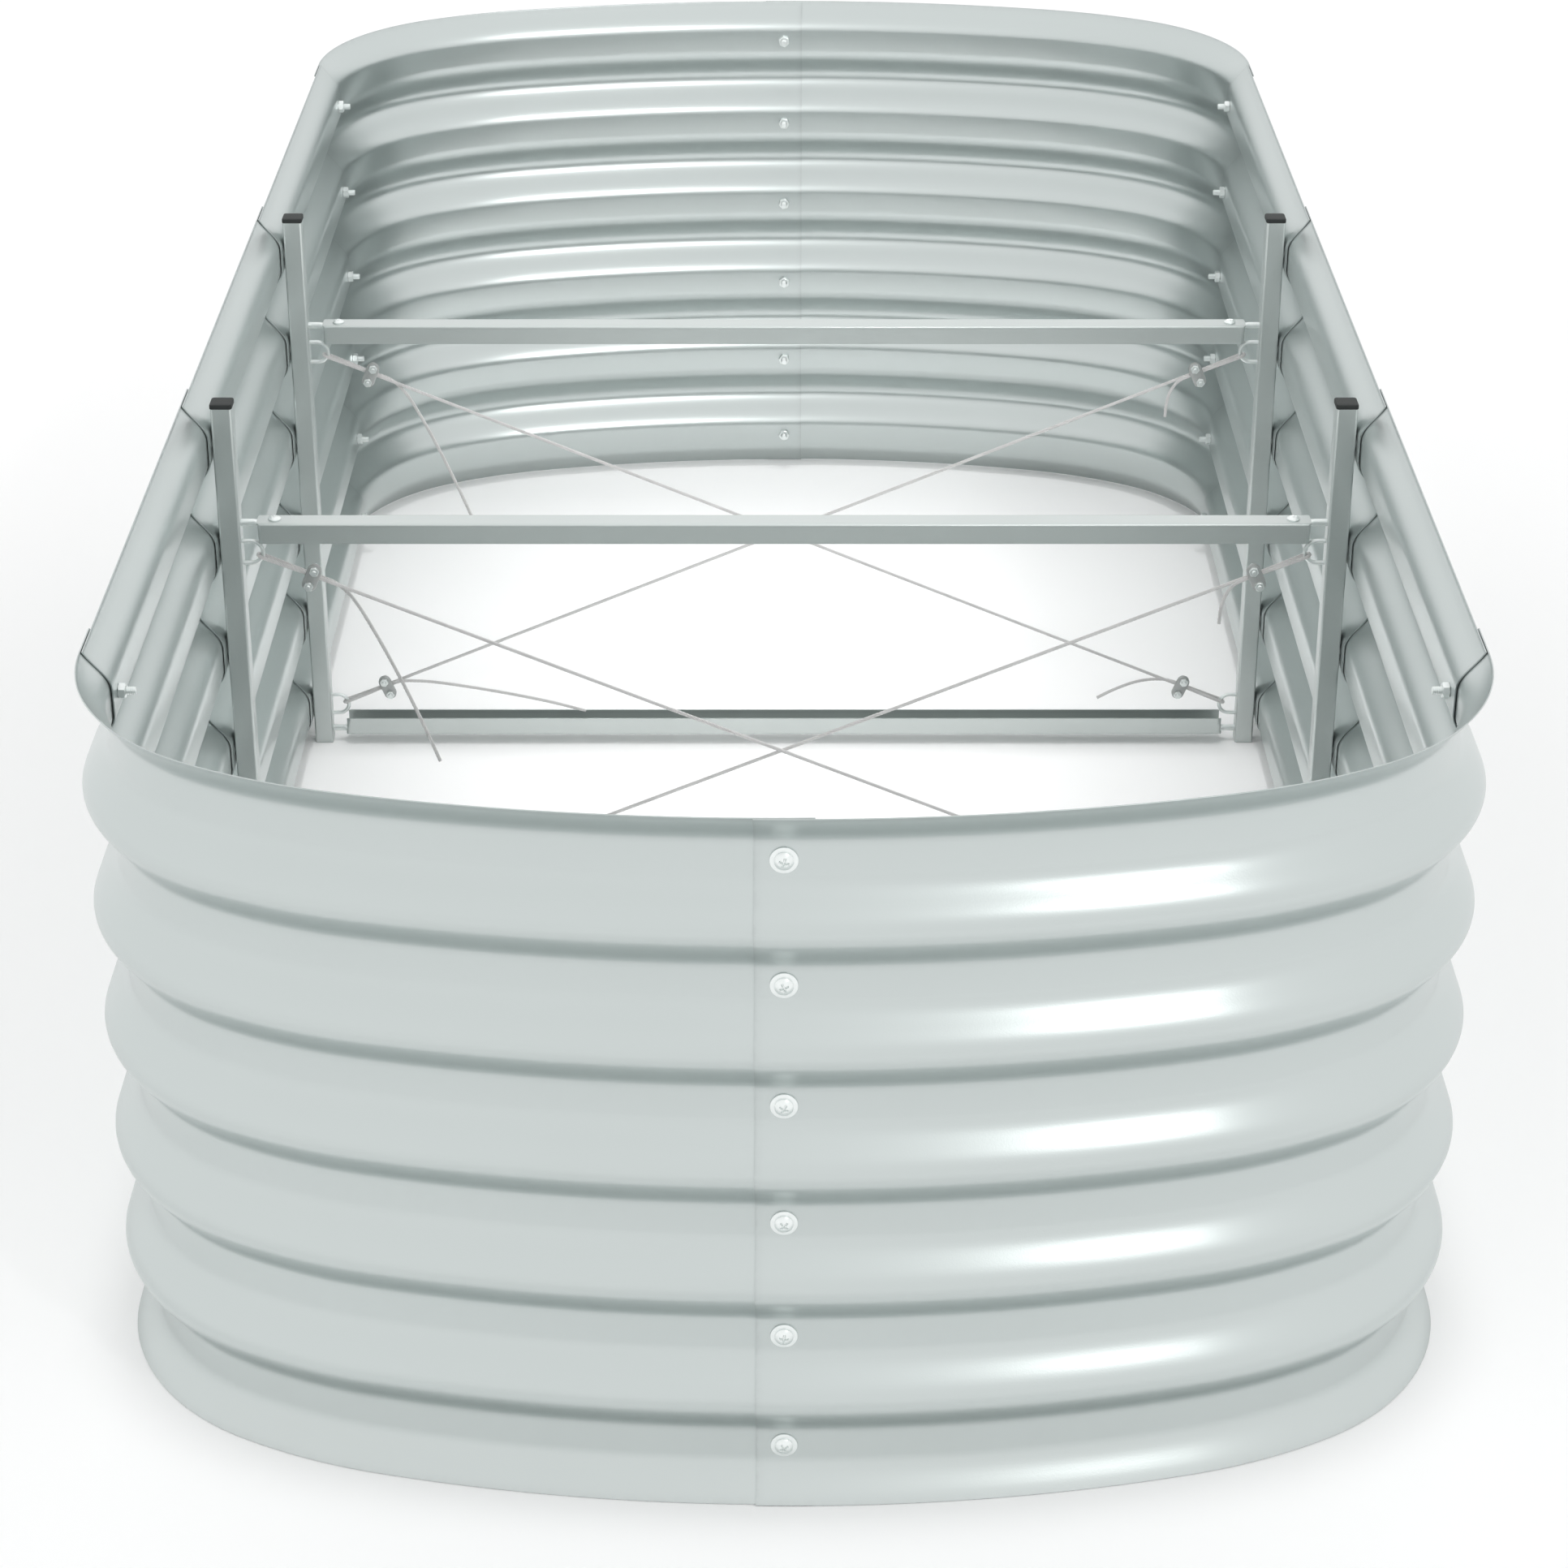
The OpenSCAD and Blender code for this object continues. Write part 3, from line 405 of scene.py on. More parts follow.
def evenly(path, step):
    """Points at even steps along a path, and their distances from its start."""
    path = np.asarray(path, float)
    reach = path_reach(path)
    count = max(2, int(round(reach[-1] / step)) + 1)
    at = np.linspace(0, reach[-1], count)
    return np.stack([np.interp(at, reach, path[:, k]) for k in range(3)], 1), at


def laid_rope(path, diameter, lay, normal, step=0.0021, sides=6):
    """A wire rope: six strands laid round a core, along a path in one plane."""
    points, reach = evenly(path, step)
    normal = np.asarray(normal, float)
    along, across = path_directions(points, normal)
    strand = diameter / 6  # a strand's radius; the core is a little fuller
    parts = [rod(points, strand * 1.1, sides, normal, across)]
    for start in full_turn(6):
        turn = 2 * math.pi * reach / lay + start
        out = np.cos(turn)[:, None] * normal + np.sin(turn)[:, None] * across
        centres = points + out * (diameter / 2 - strand)
        parts.append(rod(centres, strand, sides, out, np.cross(along, out)))
    return joined(parts)


def threaded_rod(radius, length, pitch, count=16):
    """A screw thread up Z from the origin, with a pointed lead at its top."""
    rows = max(4, int(round(length / pitch * 5)))
    heights = np.linspace(0, length, rows + 1)
    angles = full_turn(count)
    phase = (heights[:, None] / pitch - angles[None, :] / (2 * math.pi)) % 1
    depth = 0.55 * pitch * np.abs(2 * phase - 1)
    lead = np.clip((length - heights) / pitch, 0, 1)[:, None]
    radii = (radius - depth) * (0.86 + 0.14 * lead)
    points = np.stack([radii * np.cos(angles), radii * np.sin(angles),
                       np.repeat(heights[:, None], count, 1)], 2)
    return points.reshape(-1, 3), ring_skin(rows + 1, count)


def pan_head(diameter, height, count=48):
    """A domed screw head on the XY plane, with a cross recess and a rounded rim."""
    radius = diameter / 2
    edge = height / 3
    dome = height - edge
    dome_r = (dome * dome + radius * radius) / (2 * dome)
    arm = radius * 0.5
    angles = full_turn(count)
    rings = [ring(radius * share, angles, z)
             for share, z in ((0.3, 0), (0.96, 0), (0.985, edge * 0.45))]
    for share in (1.0, 0.985, *np.linspace(0.08, 0.96, 16)[::-1], 0.02):
        r = radius * share
        x, y = r * np.cos(angles), r * np.sin(angles)
        recess = np.zeros(count)
        for u, v in ((x, y), (y, x)):
            wide = (RECESS_WIDTH / 2 + RECESS_SLOPE / 2 - np.abs(u)) / RECESS_SLOPE
            long = (arm + RECESS_SLOPE / 2 - np.abs(v)) / RECESS_END_SLOPE
            recess = np.maximum(recess, np.clip(wide, 0, 1) * np.clip(long, 0, 1))
        top = height - dome_r + math.sqrt(dome_r ** 2 - r ** 2)
        rings.append(ring(r, angles, top - recess * height * RECESS_DEPTH))
    return np.vstack(rings), ring_skin(len(rings), count)


def pan_screw(head, head_height, diameter, length, pitch):
    """A screw with a domed head on the XY plane and its thread below."""
    shank = threaded_rod(diameter / 2, length, pitch)
    return joined([pan_head(head, head_height),
                   placed(shank, (0, 0, 0), *DOWNWARD)])


def hex_nut(flats, height, thread, per_side=6):
    """A nut on the XY plane, with chamfered corners and a countersunk bore."""
    angles = full_turn(6 * per_side)
    half, bore = flats / 2, (thread + BORE_GAP) / 2
    hexagon = half / np.cos((angles + math.pi / 6) % (math.pi / 3) - math.pi / 6)
    face, sink = half * 0.96, bore + COUNTERSINK
    drop = (hexagon - face) * math.tan(math.radians(30))
    rows = [(bore, COUNTERSINK), (sink, 0), (face, 0), (hexagon, drop),
            (hexagon, height - drop), (face, height), (sink, height),
            (bore, height - COUNTERSINK)]
    points = np.vstack([ring(r, angles, z) for r, z in rows])
    return points, ring_skin(len(rows), len(angles), ends="joined")


def washer_ring(diameter, thickness, bore, count=40):
    """A flat washer on the XY plane with softly rounded edges."""
    r, b, e = diameter / 2, bore / 2, thickness * 0.22
    rows = [(b, e), (b + e, 0), (r - e, 0), (r - e * 0.3, e * 0.3), (r, e),
            (r, thickness - e), (r - e * 0.3, thickness - e * 0.3),
            (r - e, thickness), (b + e, thickness), (b, thickness - e)]
    points = np.vstack([ring(radius, full_turn(count), z) for radius, z in rows])
    return points, ring_skin(len(rows), count, ends="joined")


def rounded_square(size, radius, per_corner=6):
    """Outline of a square with round corners."""
    points = []
    for quarter in range(4):
        cx = (size / 2 - radius) * (1 if quarter in (0, 3) else -1)
        cy = (size / 2 - radius) * (1 if quarter in (0, 1) else -1)
        for k in range(per_corner + 1):
            a = (quarter + k / per_corner) * math.pi / 2
            points.append((cx + radius * math.cos(a), cy + radius * math.sin(a)))
    return points


def stadium(length, width, inset, per_end=12):
    """Outline of a plate with round ends, long along its second axis."""
    radius = width / 2 - inset
    reach = length / 2 - width / 2
    return [(radius * math.cos(a), end * reach + radius * math.sin(a))
            for end, low in ((1, 0), (-1, math.pi))
            for a in np.linspace(low, low + math.pi, per_end + 1)]


def add_piece(name, part, material, nodes, smooth_angle=PIECE_ANGLE, marks=None):
    """A mesh piece that rides on the bed and stands for its CAD nodes."""
    mesh = bpy.data.meshes.new(name)
    mesh.from_pydata([tuple(p) for p in part[0]], [], part[1])
    if marks is not None:
        layer = mesh.attributes.new("free_edge", "FLOAT", "POINT")
        layer.data.foreach_set("value", np.asarray(marks, np.float32))
    shape = bmesh.new()
    shape.from_mesh(mesh)
    bmesh.ops.recalc_face_normals(shape, faces=shape.faces)
    shape.to_mesh(mesh)
    shape.free()
    mesh.shade_smooth()
    mesh.set_sharp_from_angle(angle=math.radians(smooth_angle))
    mesh.materials.append(material)
    piece = bpy.data.objects.new(name, mesh)
    bpy.context.scene.collection.objects.link(piece)
    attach(piece, "root")
    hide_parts(*nodes)
    return piece


def add_zinc_piece(name, part, node, smooth_angle=PIECE_ANGLE):
    """A piece of bright zinc plate that stands for one CAD node."""
    add_piece(name, part, zinc_plate(), [node], smooth_angle)


def dress_node(name, material, edge=0.0003):
    """A carried-over CAD solid: its own mesh, softened edges and a real finish."""
    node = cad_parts[name]
    node.data.materials.clear()
    node.data.materials.append(material)
    weld = node.modifiers.new("weld", "WELD")
    weld.merge_threshold = 1e-6
    bevel = node.modifiers.new("soft edges", "BEVEL")
    bevel.width = edge
    bevel.segments = 2
    bevel.limit_method = "ANGLE"
    bevel.angle_limit = math.radians(40)
    bevel.harden_normals = True


# Finishes


def add_node(tree, kind, inputs, **settings):
    """A shader node with its settings, each input given a value or another's output."""
    node = tree.nodes.new(kind)
    for key, value in settings.items():
        setattr(node, key, value)
    for key, value in inputs.items():
        if isinstance(value, bpy.types.NodeSocket):
            tree.links.new(value, node.inputs[key])
        else:
            node.inputs[key].default_value = value
    return node


def noise(tree, scale, detail):
    """Cloudy noise over the object's own metres."""
    place = add_node(tree, "ShaderNodeTexCoord", {})
    inputs = {"Vector": place.outputs["Object"], "Scale": scale, "Detail": detail}
    return add_node(tree, "ShaderNodeTexNoise", inputs).outputs["Fac"]


def times(tree, first, second, clamp=False):
    """Product of two outputs."""
    return add_node(tree, "ShaderNodeMath", {0: first, 1: second},
                    operation="MULTIPLY", use_clamp=clamp).outputs[0]


def opaque(colour, shade=1.0):
    """A colour for a socket, lighter or darker by the shade."""
    return (*(c * shade for c in colour), 1)


def mixed(tree, factor, first, second):
    """A colour mix: each of first and second is an output or a colour."""
    node = add_node(tree, "ShaderNodeMix", {"Factor": factor}, data_type="RGBA")
    for key, value in (("A", first), ("B", second)):
        socket = next(i for i in node.inputs if i.name == key and i.type == "RGBA")
        if isinstance(value, bpy.types.NodeSocket):
            tree.links.new(value, socket)
        else:
            socket.default_value = value
    return next(o for o in node.outputs if o.type == "RGBA")


def shared_group(name, inputs, outputs, wire):
    """The shader node group of that name, built when it is first asked for."""
    if name in bpy.data.node_groups:
        return bpy.data.node_groups[name]
    group = bpy.data.node_groups.new(name, "ShaderNodeTree")
    for label, value in inputs.items():
        socket = group.interface.new_socket(name=label, in_out="INPUT",
                                            socket_type="NodeSocketFloat")
        socket.default_value = value
    for label in outputs:
        group.interface.new_socket(name=label, in_out="OUTPUT",
                                   socket_type="NodeSocketFloat")
    given = group.nodes.new("NodeGroupInput").outputs
    results = wire(group, given)
    add_node(group, "NodeGroupOutput", dict(zip(outputs, results)))
    return group


def mottle_group():
    """Soft cloudy variation and a fine skin texture, in the bed's own metres."""
    return shared_group(
        "Coat mottle", {"Cloud Scale": 6.0, "Grain Scale": 900.0}, ["Cloud", "Grain"],
        lambda group, given: (noise(group, given["Cloud Scale"], 4),
                              noise(group, given["Grain Scale"], 2)))


def edge_group():
    """Wear on the sheet's free edges, broken up so that it isn't an even line."""
    def wire(group, given):
        mark = add_node(group, "ShaderNodeAttribute", {}, attribute_name="free_edge")
        broken = times(group, mark.outputs["Fac"], noise(group, 120, 3))
        return [times(group, broken, given["Amount"], clamp=True)]

    return shared_group("Edge wear", {"Amount": 0.6}, ["Mask"], wire)


def dust_group():
    """Thin dust that fades out above the ground, in soft patches."""
    def wire(group, given):
        place = add_node(group, "ShaderNodeTexCoord", {})
        split = add_node(group, "ShaderNodeSeparateXYZ", {0: place.outputs["Object"]})
        fade = add_node(group, "ShaderNodeMapRange",
                        {"Value": split.outputs["Z"], "From Max": given["Reach"],
                         "To Min": 1, "To Max": 0})
        patch = times(group, fade.outputs["Result"], noise(group, 22, 5))
        return [times(group, patch, given["Amount"])]

    return shared_group("Ground dust", {"Reach": 0.12, "Amount": 0.2}, ["Mask"], wire)


def finish_material(name, colour, roughness, metallic, coat=0.0, cloud_scale=6.0,
                    cloud_shade=0.94, grain_scale=900.0, grain_height=0.00004,
                    edge=0.0, dust=0.0, roughness_spread=0.08):
    """A finish with cloudy colour, fine grain, worn edges and a little dust."""
    if name in bpy.data.materials:
        return bpy.data.materials[name]
    colours = bpy.context.scene.bed_colours
    material = bpy.data.materials.new(name)
    material.use_nodes = True
    tree = material.node_tree
    shader = tree.nodes["Principled BSDF"]
    shader.inputs["Metallic"].default_value = metallic
    shader.inputs["Coat Weight"].default_value = coat
    shader.inputs["Coat Roughness"].default_value = 0.12
    mottle = add_node(tree, "ShaderNodeGroup",
                      {"Cloud Scale": cloud_scale, "Grain Scale": grain_scale},
                      node_tree=mottle_group()).outputs
    base = mixed(tree, mottle["Cloud"], opaque(colour), opaque(colour, cloud_shade))
    rough = add_node(tree, "ShaderNodeMapRange",
                     {"Value": mottle["Cloud"],
                      "To Min": roughness - roughness_spread / 2,
                      "To Max": roughness + roughness_spread / 2}).outputs["Result"]
    if edge:
        wear = add_node(tree, "ShaderNodeGroup", {"Amount": edge},
                        node_tree=edge_group()).outputs["Mask"]
        base = mixed(tree, wear, base, opaque(colours.worn_edge))
    if dust:
        dirt = add_node(tree, "ShaderNodeGroup", {"Amount": dust},
                        node_tree=dust_group()).outputs["Mask"]
        base = mixed(tree, dirt, base, opaque(colours.dust))
        rough = add_node(tree, "ShaderNodeMath", {0: dirt, 1: 0.5, 2: rough},
                         operation="MULTIPLY_ADD").outputs[0]
    bump = add_node(tree, "ShaderNodeBump", {"Strength": 1.0, "Distance": grain_height,
                                             "Height": mottle["Grain"]})
    for label, output in (("Base Color", base), ("Roughness", rough),
                          ("Normal", bump.outputs["Normal"])):
        tree.links.new(output, shader.inputs[label])
    return material


# Roughness stays over 0.274 in wall coat and zinc plate: below it, renders that are
# denoised take a surface for a mirror in patches and show faint swirls


def wall_coat():
    """Satin baked coat on galvanised sheet."""
    c = bpy.context.scene.bed_colours
    return finish_material("wall coat", c.wall_coat, 0.30, 0.95, coat=0.02,
                           cloud_scale=3.0, cloud_shade=0.965, grain_scale=700,
                           grain_height=0.00003, edge=0.9, dust=0.05,
                           roughness_spread=0.05)


def tube_coat():
    """Satin coat on drawn tube and folded channel."""
    c = bpy.context.scene.bed_colours
    return finish_material("tube coat", c.tube_coat, 0.36, 0.80, coat=0.04,
                           cloud_scale=9, cloud_shade=0.95, dust=0.05)


def cap_plastic():
    """Matt moulded plastic with a fine spark-eroded grain."""
    c = bpy.context.scene.bed_colours
    return finish_material("cap plastic", c.black_plastic, 0.62, 0.0, cloud_scale=60,
                           cloud_shade=1.3, grain_scale=2600, grain_height=0.0001)


def rope_steel():
    """Drawn galvanised wire, a little dull."""
    c = bpy.context.scene.bed_colours
    return finish_material("rope steel", c.rope_steel, 0.45, 0.30, cloud_scale=70,
                           cloud_shade=0.82, grain_scale=3000, grain_height=0.00003)


def zinc_plate():
    """Bright zinc plate with the faint cloudiness of a plating bath."""
    c = bpy.context.scene.bed_colours
    return finish_material("zinc plate", c.zinc_plate, 0.31, 0.75, cloud_scale=160,
                           cloud_shade=0.90, grain_scale=3500, grain_height=0.00002,
                           roughness_spread=0.07)


def cast_zinc():
    """Duller, slightly rough zinc of the cast saddles."""
    c = bpy.context.scene.bed_colours
    return finish_material("cast zinc", c.cast_zinc, 0.48, 0.60, cloud_scale=220,
                           cloud_shade=0.80, grain_scale=2200, grain_height=0.00008)


def floor_paint():
    """Pale matt floor of the studio."""
    c = bpy.context.scene.bed_colours
    return finish_material("studio floor", c.floor, 0.85, 0.0, cloud_scale=1.5,
                           cloud_shade=0.99, grain_scale=120, grain_height=0.00005)


# Wall panels


def wall_section(s, place):
    """The sheet's section: heights, offsets outward from the crest, half thickness."""
    heights = {0.0, s.height}
    for z in place.row_z:
        for sign in (-1, 1):
            for k in range(BLEND_STEPS + 1):
                at = z + sign * (s.valley_land / 2 + place.blend * k / BLEND_STEPS)
                if RIM_CLEAR < at < s.height - RIM_CLEAR:
                    heights.add(round(at, 7))
    heights = np.array(sorted(heights))
    run = np.min(np.abs(heights[:, None] - np.array(place.row_z)[None]), 1)
    share = np.clip((run - s.valley_land / 2) / place.blend, 0, 1)
    inward = s.wave_depth * (1 + np.cos(math.pi * share)) / 2
    half = s.sheet * np.hypot(1, place.steepest * np.sin(math.pi * share)) / 2
    rim = s.sheet / 2
    heights[0], heights[-1] = rim, s.height - rim
    return heights, -inward, half, rim


def add_wall(name, node, s, place, stations, normals, signs, shift):
    """A panel swept along its stations, with rounded rims and worn free edges."""
    level, offset, half, rim = wall_section(s, place)
    count = len(level)
    arc = np.radians([30, 60, 90, 120, 150])
    outline = [(offset[k] + half[k], level[k]) for k in range(count)]
    outline += [(offset[-1] + half[-1] * math.cos(a), level[-1] + rim * math.sin(a))
                for a in arc]
    outline += [(offset[k] - half[k], level[k]) for k in reversed(range(count))]
    outline += [(offset[0] - half[0] * math.cos(a), level[0] - rim * math.sin(a))
                for a in arc]
    outline = np.array(outline)
    total = len(outline)
    flat = stations[:, None] + normals[:, None] * outline[None, :, :1]
    flat = (flat + np.array(shift)) * np.array(signs)
    heights = np.broadcast_to(outline[:, 1], flat.shape[:2])
    points = np.dstack([flat, heights]).reshape(-1, 3)
    faces = ring_skin(len(stations), total, ends="open")
    inner = total - len(arc) - 1
    for start in (0, (len(stations) - 1) * total):
        faces += [[start + k, start + k + 1, start + inner - k - 1, start + inner - k]
                  for k in range(count - 1)]
        faces.append([start + j for j in range(count - 1, count + len(arc) + 1)])
        faces.append([start + j for j in range(inner, total)] + [start])
    reach = path_reach(stations)
    to_end = np.minimum(reach, reach[-1] - reach)
    to_rim = np.minimum(outline[:, 1], s.height - outline[:, 1])
    marks = np.maximum(np.exp(-to_end / END_WEAR)[:, None],
                       np.exp(-to_rim / RIM_WEAR)[None, :])
    add_piece(name, (points, faces), wall_coat(), [node],
              marks=marks.ravel())


def corner_stations(s, place, side_layer, end_layer):
    """A corner panel's crest line from above, with its outward directions."""
    shift = (side_layer * place.step, end_layer * place.step)
    lap_angle = math.asin((s.seam_lap + shift[0]) / s.end_radius)
    end_centre = (0, place.crest_y - s.end_radius)
    arcs = [
        (end_centre, s.end_radius, -lap_angle, place.end_angle, 24),
        (place.shoulder, s.shoulder_radius, place.end_angle, s.shoulder_angle, 14),
        (place.corner, s.corner_radius, s.shoulder_angle, math.pi / 2, 40),
    ]
    points, normals = [], []
    for centre, radius, low, high, count in arcs:
        angles = list(np.linspace(low, high, count + 1))[1:]
        if not points:
            angles = [low + d / radius for d in EDGE_STEPS] + angles
        for a in angles:
            points.append((centre[0] + radius * math.sin(a),
                           centre[1] + radius * math.cos(a)))
            normals.append((math.sin(a), math.cos(a)))
    last = place.seam_y - shift[1] - s.seam_lap
    for d in (EDGE_REACH, *reversed(EDGE_STEPS)):
        points.append((place.crest_x, last + d))
        normals.append((1, 0))
    return np.array(points), np.array(normals), shift


class BED_OT_wall_panels(bpy.types.Operator):
    """Build the ten corrugated wall panels"""

    bl_idname = "bed.wall_panels"
    bl_label = "Wall Panels"

    def execute(self, context):
        s, place = bed_layout(context)
        for far, side in QUARTERS:
            points, normals, shift = corner_stations(
                s, place, CORNER_LAYERS[far], END_LAYERS[side])
            tail = f"{END_NAMES[far]}_{SIDE_NAMES[side]}"
            add_wall("coated_corner_" + tail, "corner_panel_" + tail, s, place,
                     points, normals, (side, far), shift)
        runs = {
            "near": (-place.seam_y, -place.post_y),
            "middle": (-place.post_y, place.post_y),
            "far": (place.post_y, place.seam_y),
        }
        for where, (low, high) in runs.items():
            low, high = low - s.seam_lap, high + s.seam_lap
            ys = [low + d for d in EDGE_STEPS]
            ys += list(np.linspace(low + EDGE_REACH, high - EDGE_REACH, 9))
            ys += [high - d for d in reversed(EDGE_STEPS)]
            points = np.array([(place.crest_x, y) for y in ys])
            normals = np.tile([1.0, 0.0], (len(ys), 1))
            for side in (LEFT, RIGHT):
                tail = f"{where}_{SIDE_NAMES[side]}"
                add_wall("coated_side_" + tail, "side_panel_" + tail, s, place,
                         points, normals, (side, 1),
                         (SIDE_LAYERS[where] * place.step, 0))
        return {"FINISHED"}


# Posts and cross bars


def moulded_cap(s):
    """A post's cap about Z, from its plug's foot to the middle of its top."""
    rim = s.post + 2 * s.cap_overhang
    corner = s.post_corner + s.cap_overhang
    plug = s.post - 2 * s.post_wall - PLUG_GAP
    rows = [
        (plug - 0.0012, 0.0006, -s.cap_plug), (plug, 0.0009, -s.cap_plug + 0.001),
        (plug, 0.0009, 0), (rim - 0.0006, corner, 0), (rim, corner, 0.0004),
        (rim, corner, s.cap_rim - 0.0012), (rim - 0.0003, corner, s.cap_rim - 0.0006),
        (rim - 0.0009, corner, s.cap_rim - 0.0002),
        (rim - 0.0018, corner, s.cap_rim - 0.00005), (rim * 0.5, 0.0015, s.cap_rim),
    ]
    outlines = [[(x, y, z) for x, y in rounded_square(size, radius)]
                for size, radius, z in rows]
    return np.vstack(outlines), ring_skin(len(rows), len(outlines[0]))


class BED_OT_posts(bpy.types.Operator):
    """Finish the four square posts and build their moulded caps"""

    bl_idname = "bed.posts"
    bl_label = "Posts and Caps"

    def execute(self, context):
        s, place = bed_layout(context)
        cap = moulded_cap(s)
        for far, side in QUARTERS:
            tail = f"{END_NAMES[far]}_{SIDE_NAMES[side]}"
            dress_node("post_" + tail, tube_coat())
            middle = (place.post_outer(far) + place.post_inner(far)) / 2
            top = (side * middle, far * place.post_y, place.post_top)
            add_piece("moulded_cap_" + tail, placed(cap, top, *UPRIGHT),
                      cap_plastic(), ["post_cap_" + tail])
        return {"FINISHED"}


class BED_OT_cross_bars(bpy.types.Operator):
    """Finish the four cross bars of folded channel"""

    bl_idname = "bed.cross_bars"
    bl_label = "Cross Bars"

    def execute(self, context):
        for level in LEVEL_NAMES.values():
            for far in END_NAMES.values():
                dress_node(f"{level}_cross_bar_{far}", tube_coat(), edge=0.0004)
        return {"FINISHED"}


def flattened_stud(s, count=24):
    """A rod along X whose inner end is pressed flat into a blade with a round tip."""
    inner = s.nut_height + SEAT_GAP + THREAD_END
    neck, press, tip_radius = -s.bar_end_gap, 0.004, s.blade_width / 2
    xs = [inner, inner - 0.0006, neck + press, neck + press / 2, neck,
          neck - press / 2, neck - press, -s.screw_setback]
    xs += [-s.screw_setback - tip_radius * math.sin(a)
           for a in np.radians([20, 40, 55, 70, 80])]
    xs.append(-s.screw_setback - tip_radius)
    angles = full_turn(count)
    cos, sin = np.cos(angles), np.sin(angles)
    rings = []
    for x in xs:
        flat = np.clip((neck + press - x) / 0.006, 0, 1)
        flat = flat * flat * (3 - 2 * flat)
        wide = s.stud / 2 + (s.blade_width / 2 - s.stud / 2) * flat
        thick = s.stud / 2 + (s.blade_thickness / 2 - s.stud / 2) * flat
        if x < -s.screw_setback:
            reach = (-s.screw_setback - x) / tip_radius
            wide *= max(0.03, math.sqrt(max(0, 1 - reach * reach)))
        if x == inner:
            wide, thick = wide * 0.85, thick * 0.85
        power = 1 - 0.62 * flat
        rings.append(np.stack([np.full(count, x),
                               wide * np.sign(cos) * np.abs(cos) ** power,
                               thick * np.sign(sin) * np.abs(sin) ** power], 1))
    return np.vstack(rings), ring_skin(len(rings), count)


class BED_OT_bar_fixings(bpy.types.Operator):
    """Build the studs, screws and nuts that hold the cross bars"""

    bl_idname = "bed.bar_fixings"
    bl_label = "Bar Fixings"

    def execute(self, context):
        s, place = bed_layout(context)
        # At each bar end X runs outward and Z toward the bar's web
        ends = [((side * place.post_inner(far), far * place.post_y,
                  place.blade_z(level)), (side, 0, 0), (0, 1, 0), (0, 0, level))
                for side, far, level in BAR_ENDS]
        half_blade = s.blade_thickness / 2
        grip = s.bar_wall + s.blade_thickness
        screw = pan_screw(s.screw_head, s.screw_head_height, s.screw,
                          grip + SEAT_GAP + s.screw_nut_height + THREAD_END,
                          SCREW_PITCH)
        nut = hex_nut(s.screw_nut_flats, s.screw_nut_height, s.screw)
        head_seat = (-s.screw_setback, 0, half_blade + s.bar_wall)
        nut_seat = (-s.screw_setback, 0, -half_blade - SEAT_GAP - s.screw_nut_height)
        add_zinc_piece("flattened_studs", copies(flattened_stud(s), ends), "bar_studs")
        add_zinc_piece("bar_pan_screws",
                       copies(placed(screw, head_seat, *UPRIGHT), ends), "bar_screws")
        add_zinc_piece("bar_hex_nuts", copies(placed(nut, nut_seat, *UPRIGHT), ends),
                       "bar_screw_nuts", smooth_angle=NUT_ANGLE)
        dress_node("stud_nuts", zinc_plate(), edge=0.0002)
        return {"FINISHED"}


# Seam fasteners


def seam_spots(s, place, at_posts):
    """Origin and axes of every seam bolt, with Z outward."""
    spots = []
    for far in (NEAR, FAR):
        layer, y = ((POST_LAYERS[far][1], place.post_y) if at_posts
                    else (CORNER_LAYERS[far], place.seam_y))
        for side in (LEFT, RIGHT):
            x = side * (place.valley_x(layer) + s.sheet / 2)
            spots += [((x, far * y, z), (0, 0, -1), (0, side, 0), (side, 0, 0))
                      for z in place.row_z]
        if not at_posts:
            y = far * (place.valley_y(END_LAYERS[RIGHT]) + s.sheet / 2)
            spots += [((0, y, z), (0, 0, -1), (-far, 0, 0), (0, far, 0))
                      for z in place.row_z]
    return spots


class BED_OT_seam_fasteners(bpy.types.Operator):
    """Build the bolts, washers and nuts of every seam"""

    bl_idname = "bed.seam_fasteners"
    bl_label = "Seam Fasteners"

    def execute(self, context):
        s, place = bed_layout(context)
        washer = washer_ring(s.washer, s.washer_thickness, s.bolt + WASHER_GAP)
        for at_posts, label, length in ((False, "seam", s.bolt_length),
                                        (True, "post", s.post_bolt_length)):
            bolt = pan_screw(s.bolt_head, s.bolt_head_height, s.bolt, length,
                             BOLT_PITCH)
            bolt = placed(bolt, (0, 0, s.washer_thickness), *UPRIGHT)
            spots = seam_spots(s, place, at_posts)
            bolts = [placed(turned_about(bolt, 0.7 * i + 0.2 * (i % 3)), *at)
                     for i, at in enumerate(spots)]
            add_zinc_piece(label + "_pan_bolts", joined(bolts), label + "_bolts")
            add_zinc_piece(label + "_flat_washers", copies(washer, spots),
                           label + "_washers")
        nut = placed(hex_nut(s.nut_flats, s.nut_height, s.bolt),
                     (0, 0, -place.grip - SEAT_GAP - s.nut_height), *UPRIGHT)
        nuts = [placed(turned_about(nut, 0.31 * i), *at)
                for i, at in enumerate(seam_spots(s, place, False))]
        add_zinc_piece("seam_hex_nuts", joined(nuts), "seam_nuts",
                       smooth_angle=NUT_ANGLE)
        dress_node("rivet_nuts", zinc_plate(), edge=0.0001)
        return {"FINISHED"}


# Eye loops, ropes and clips


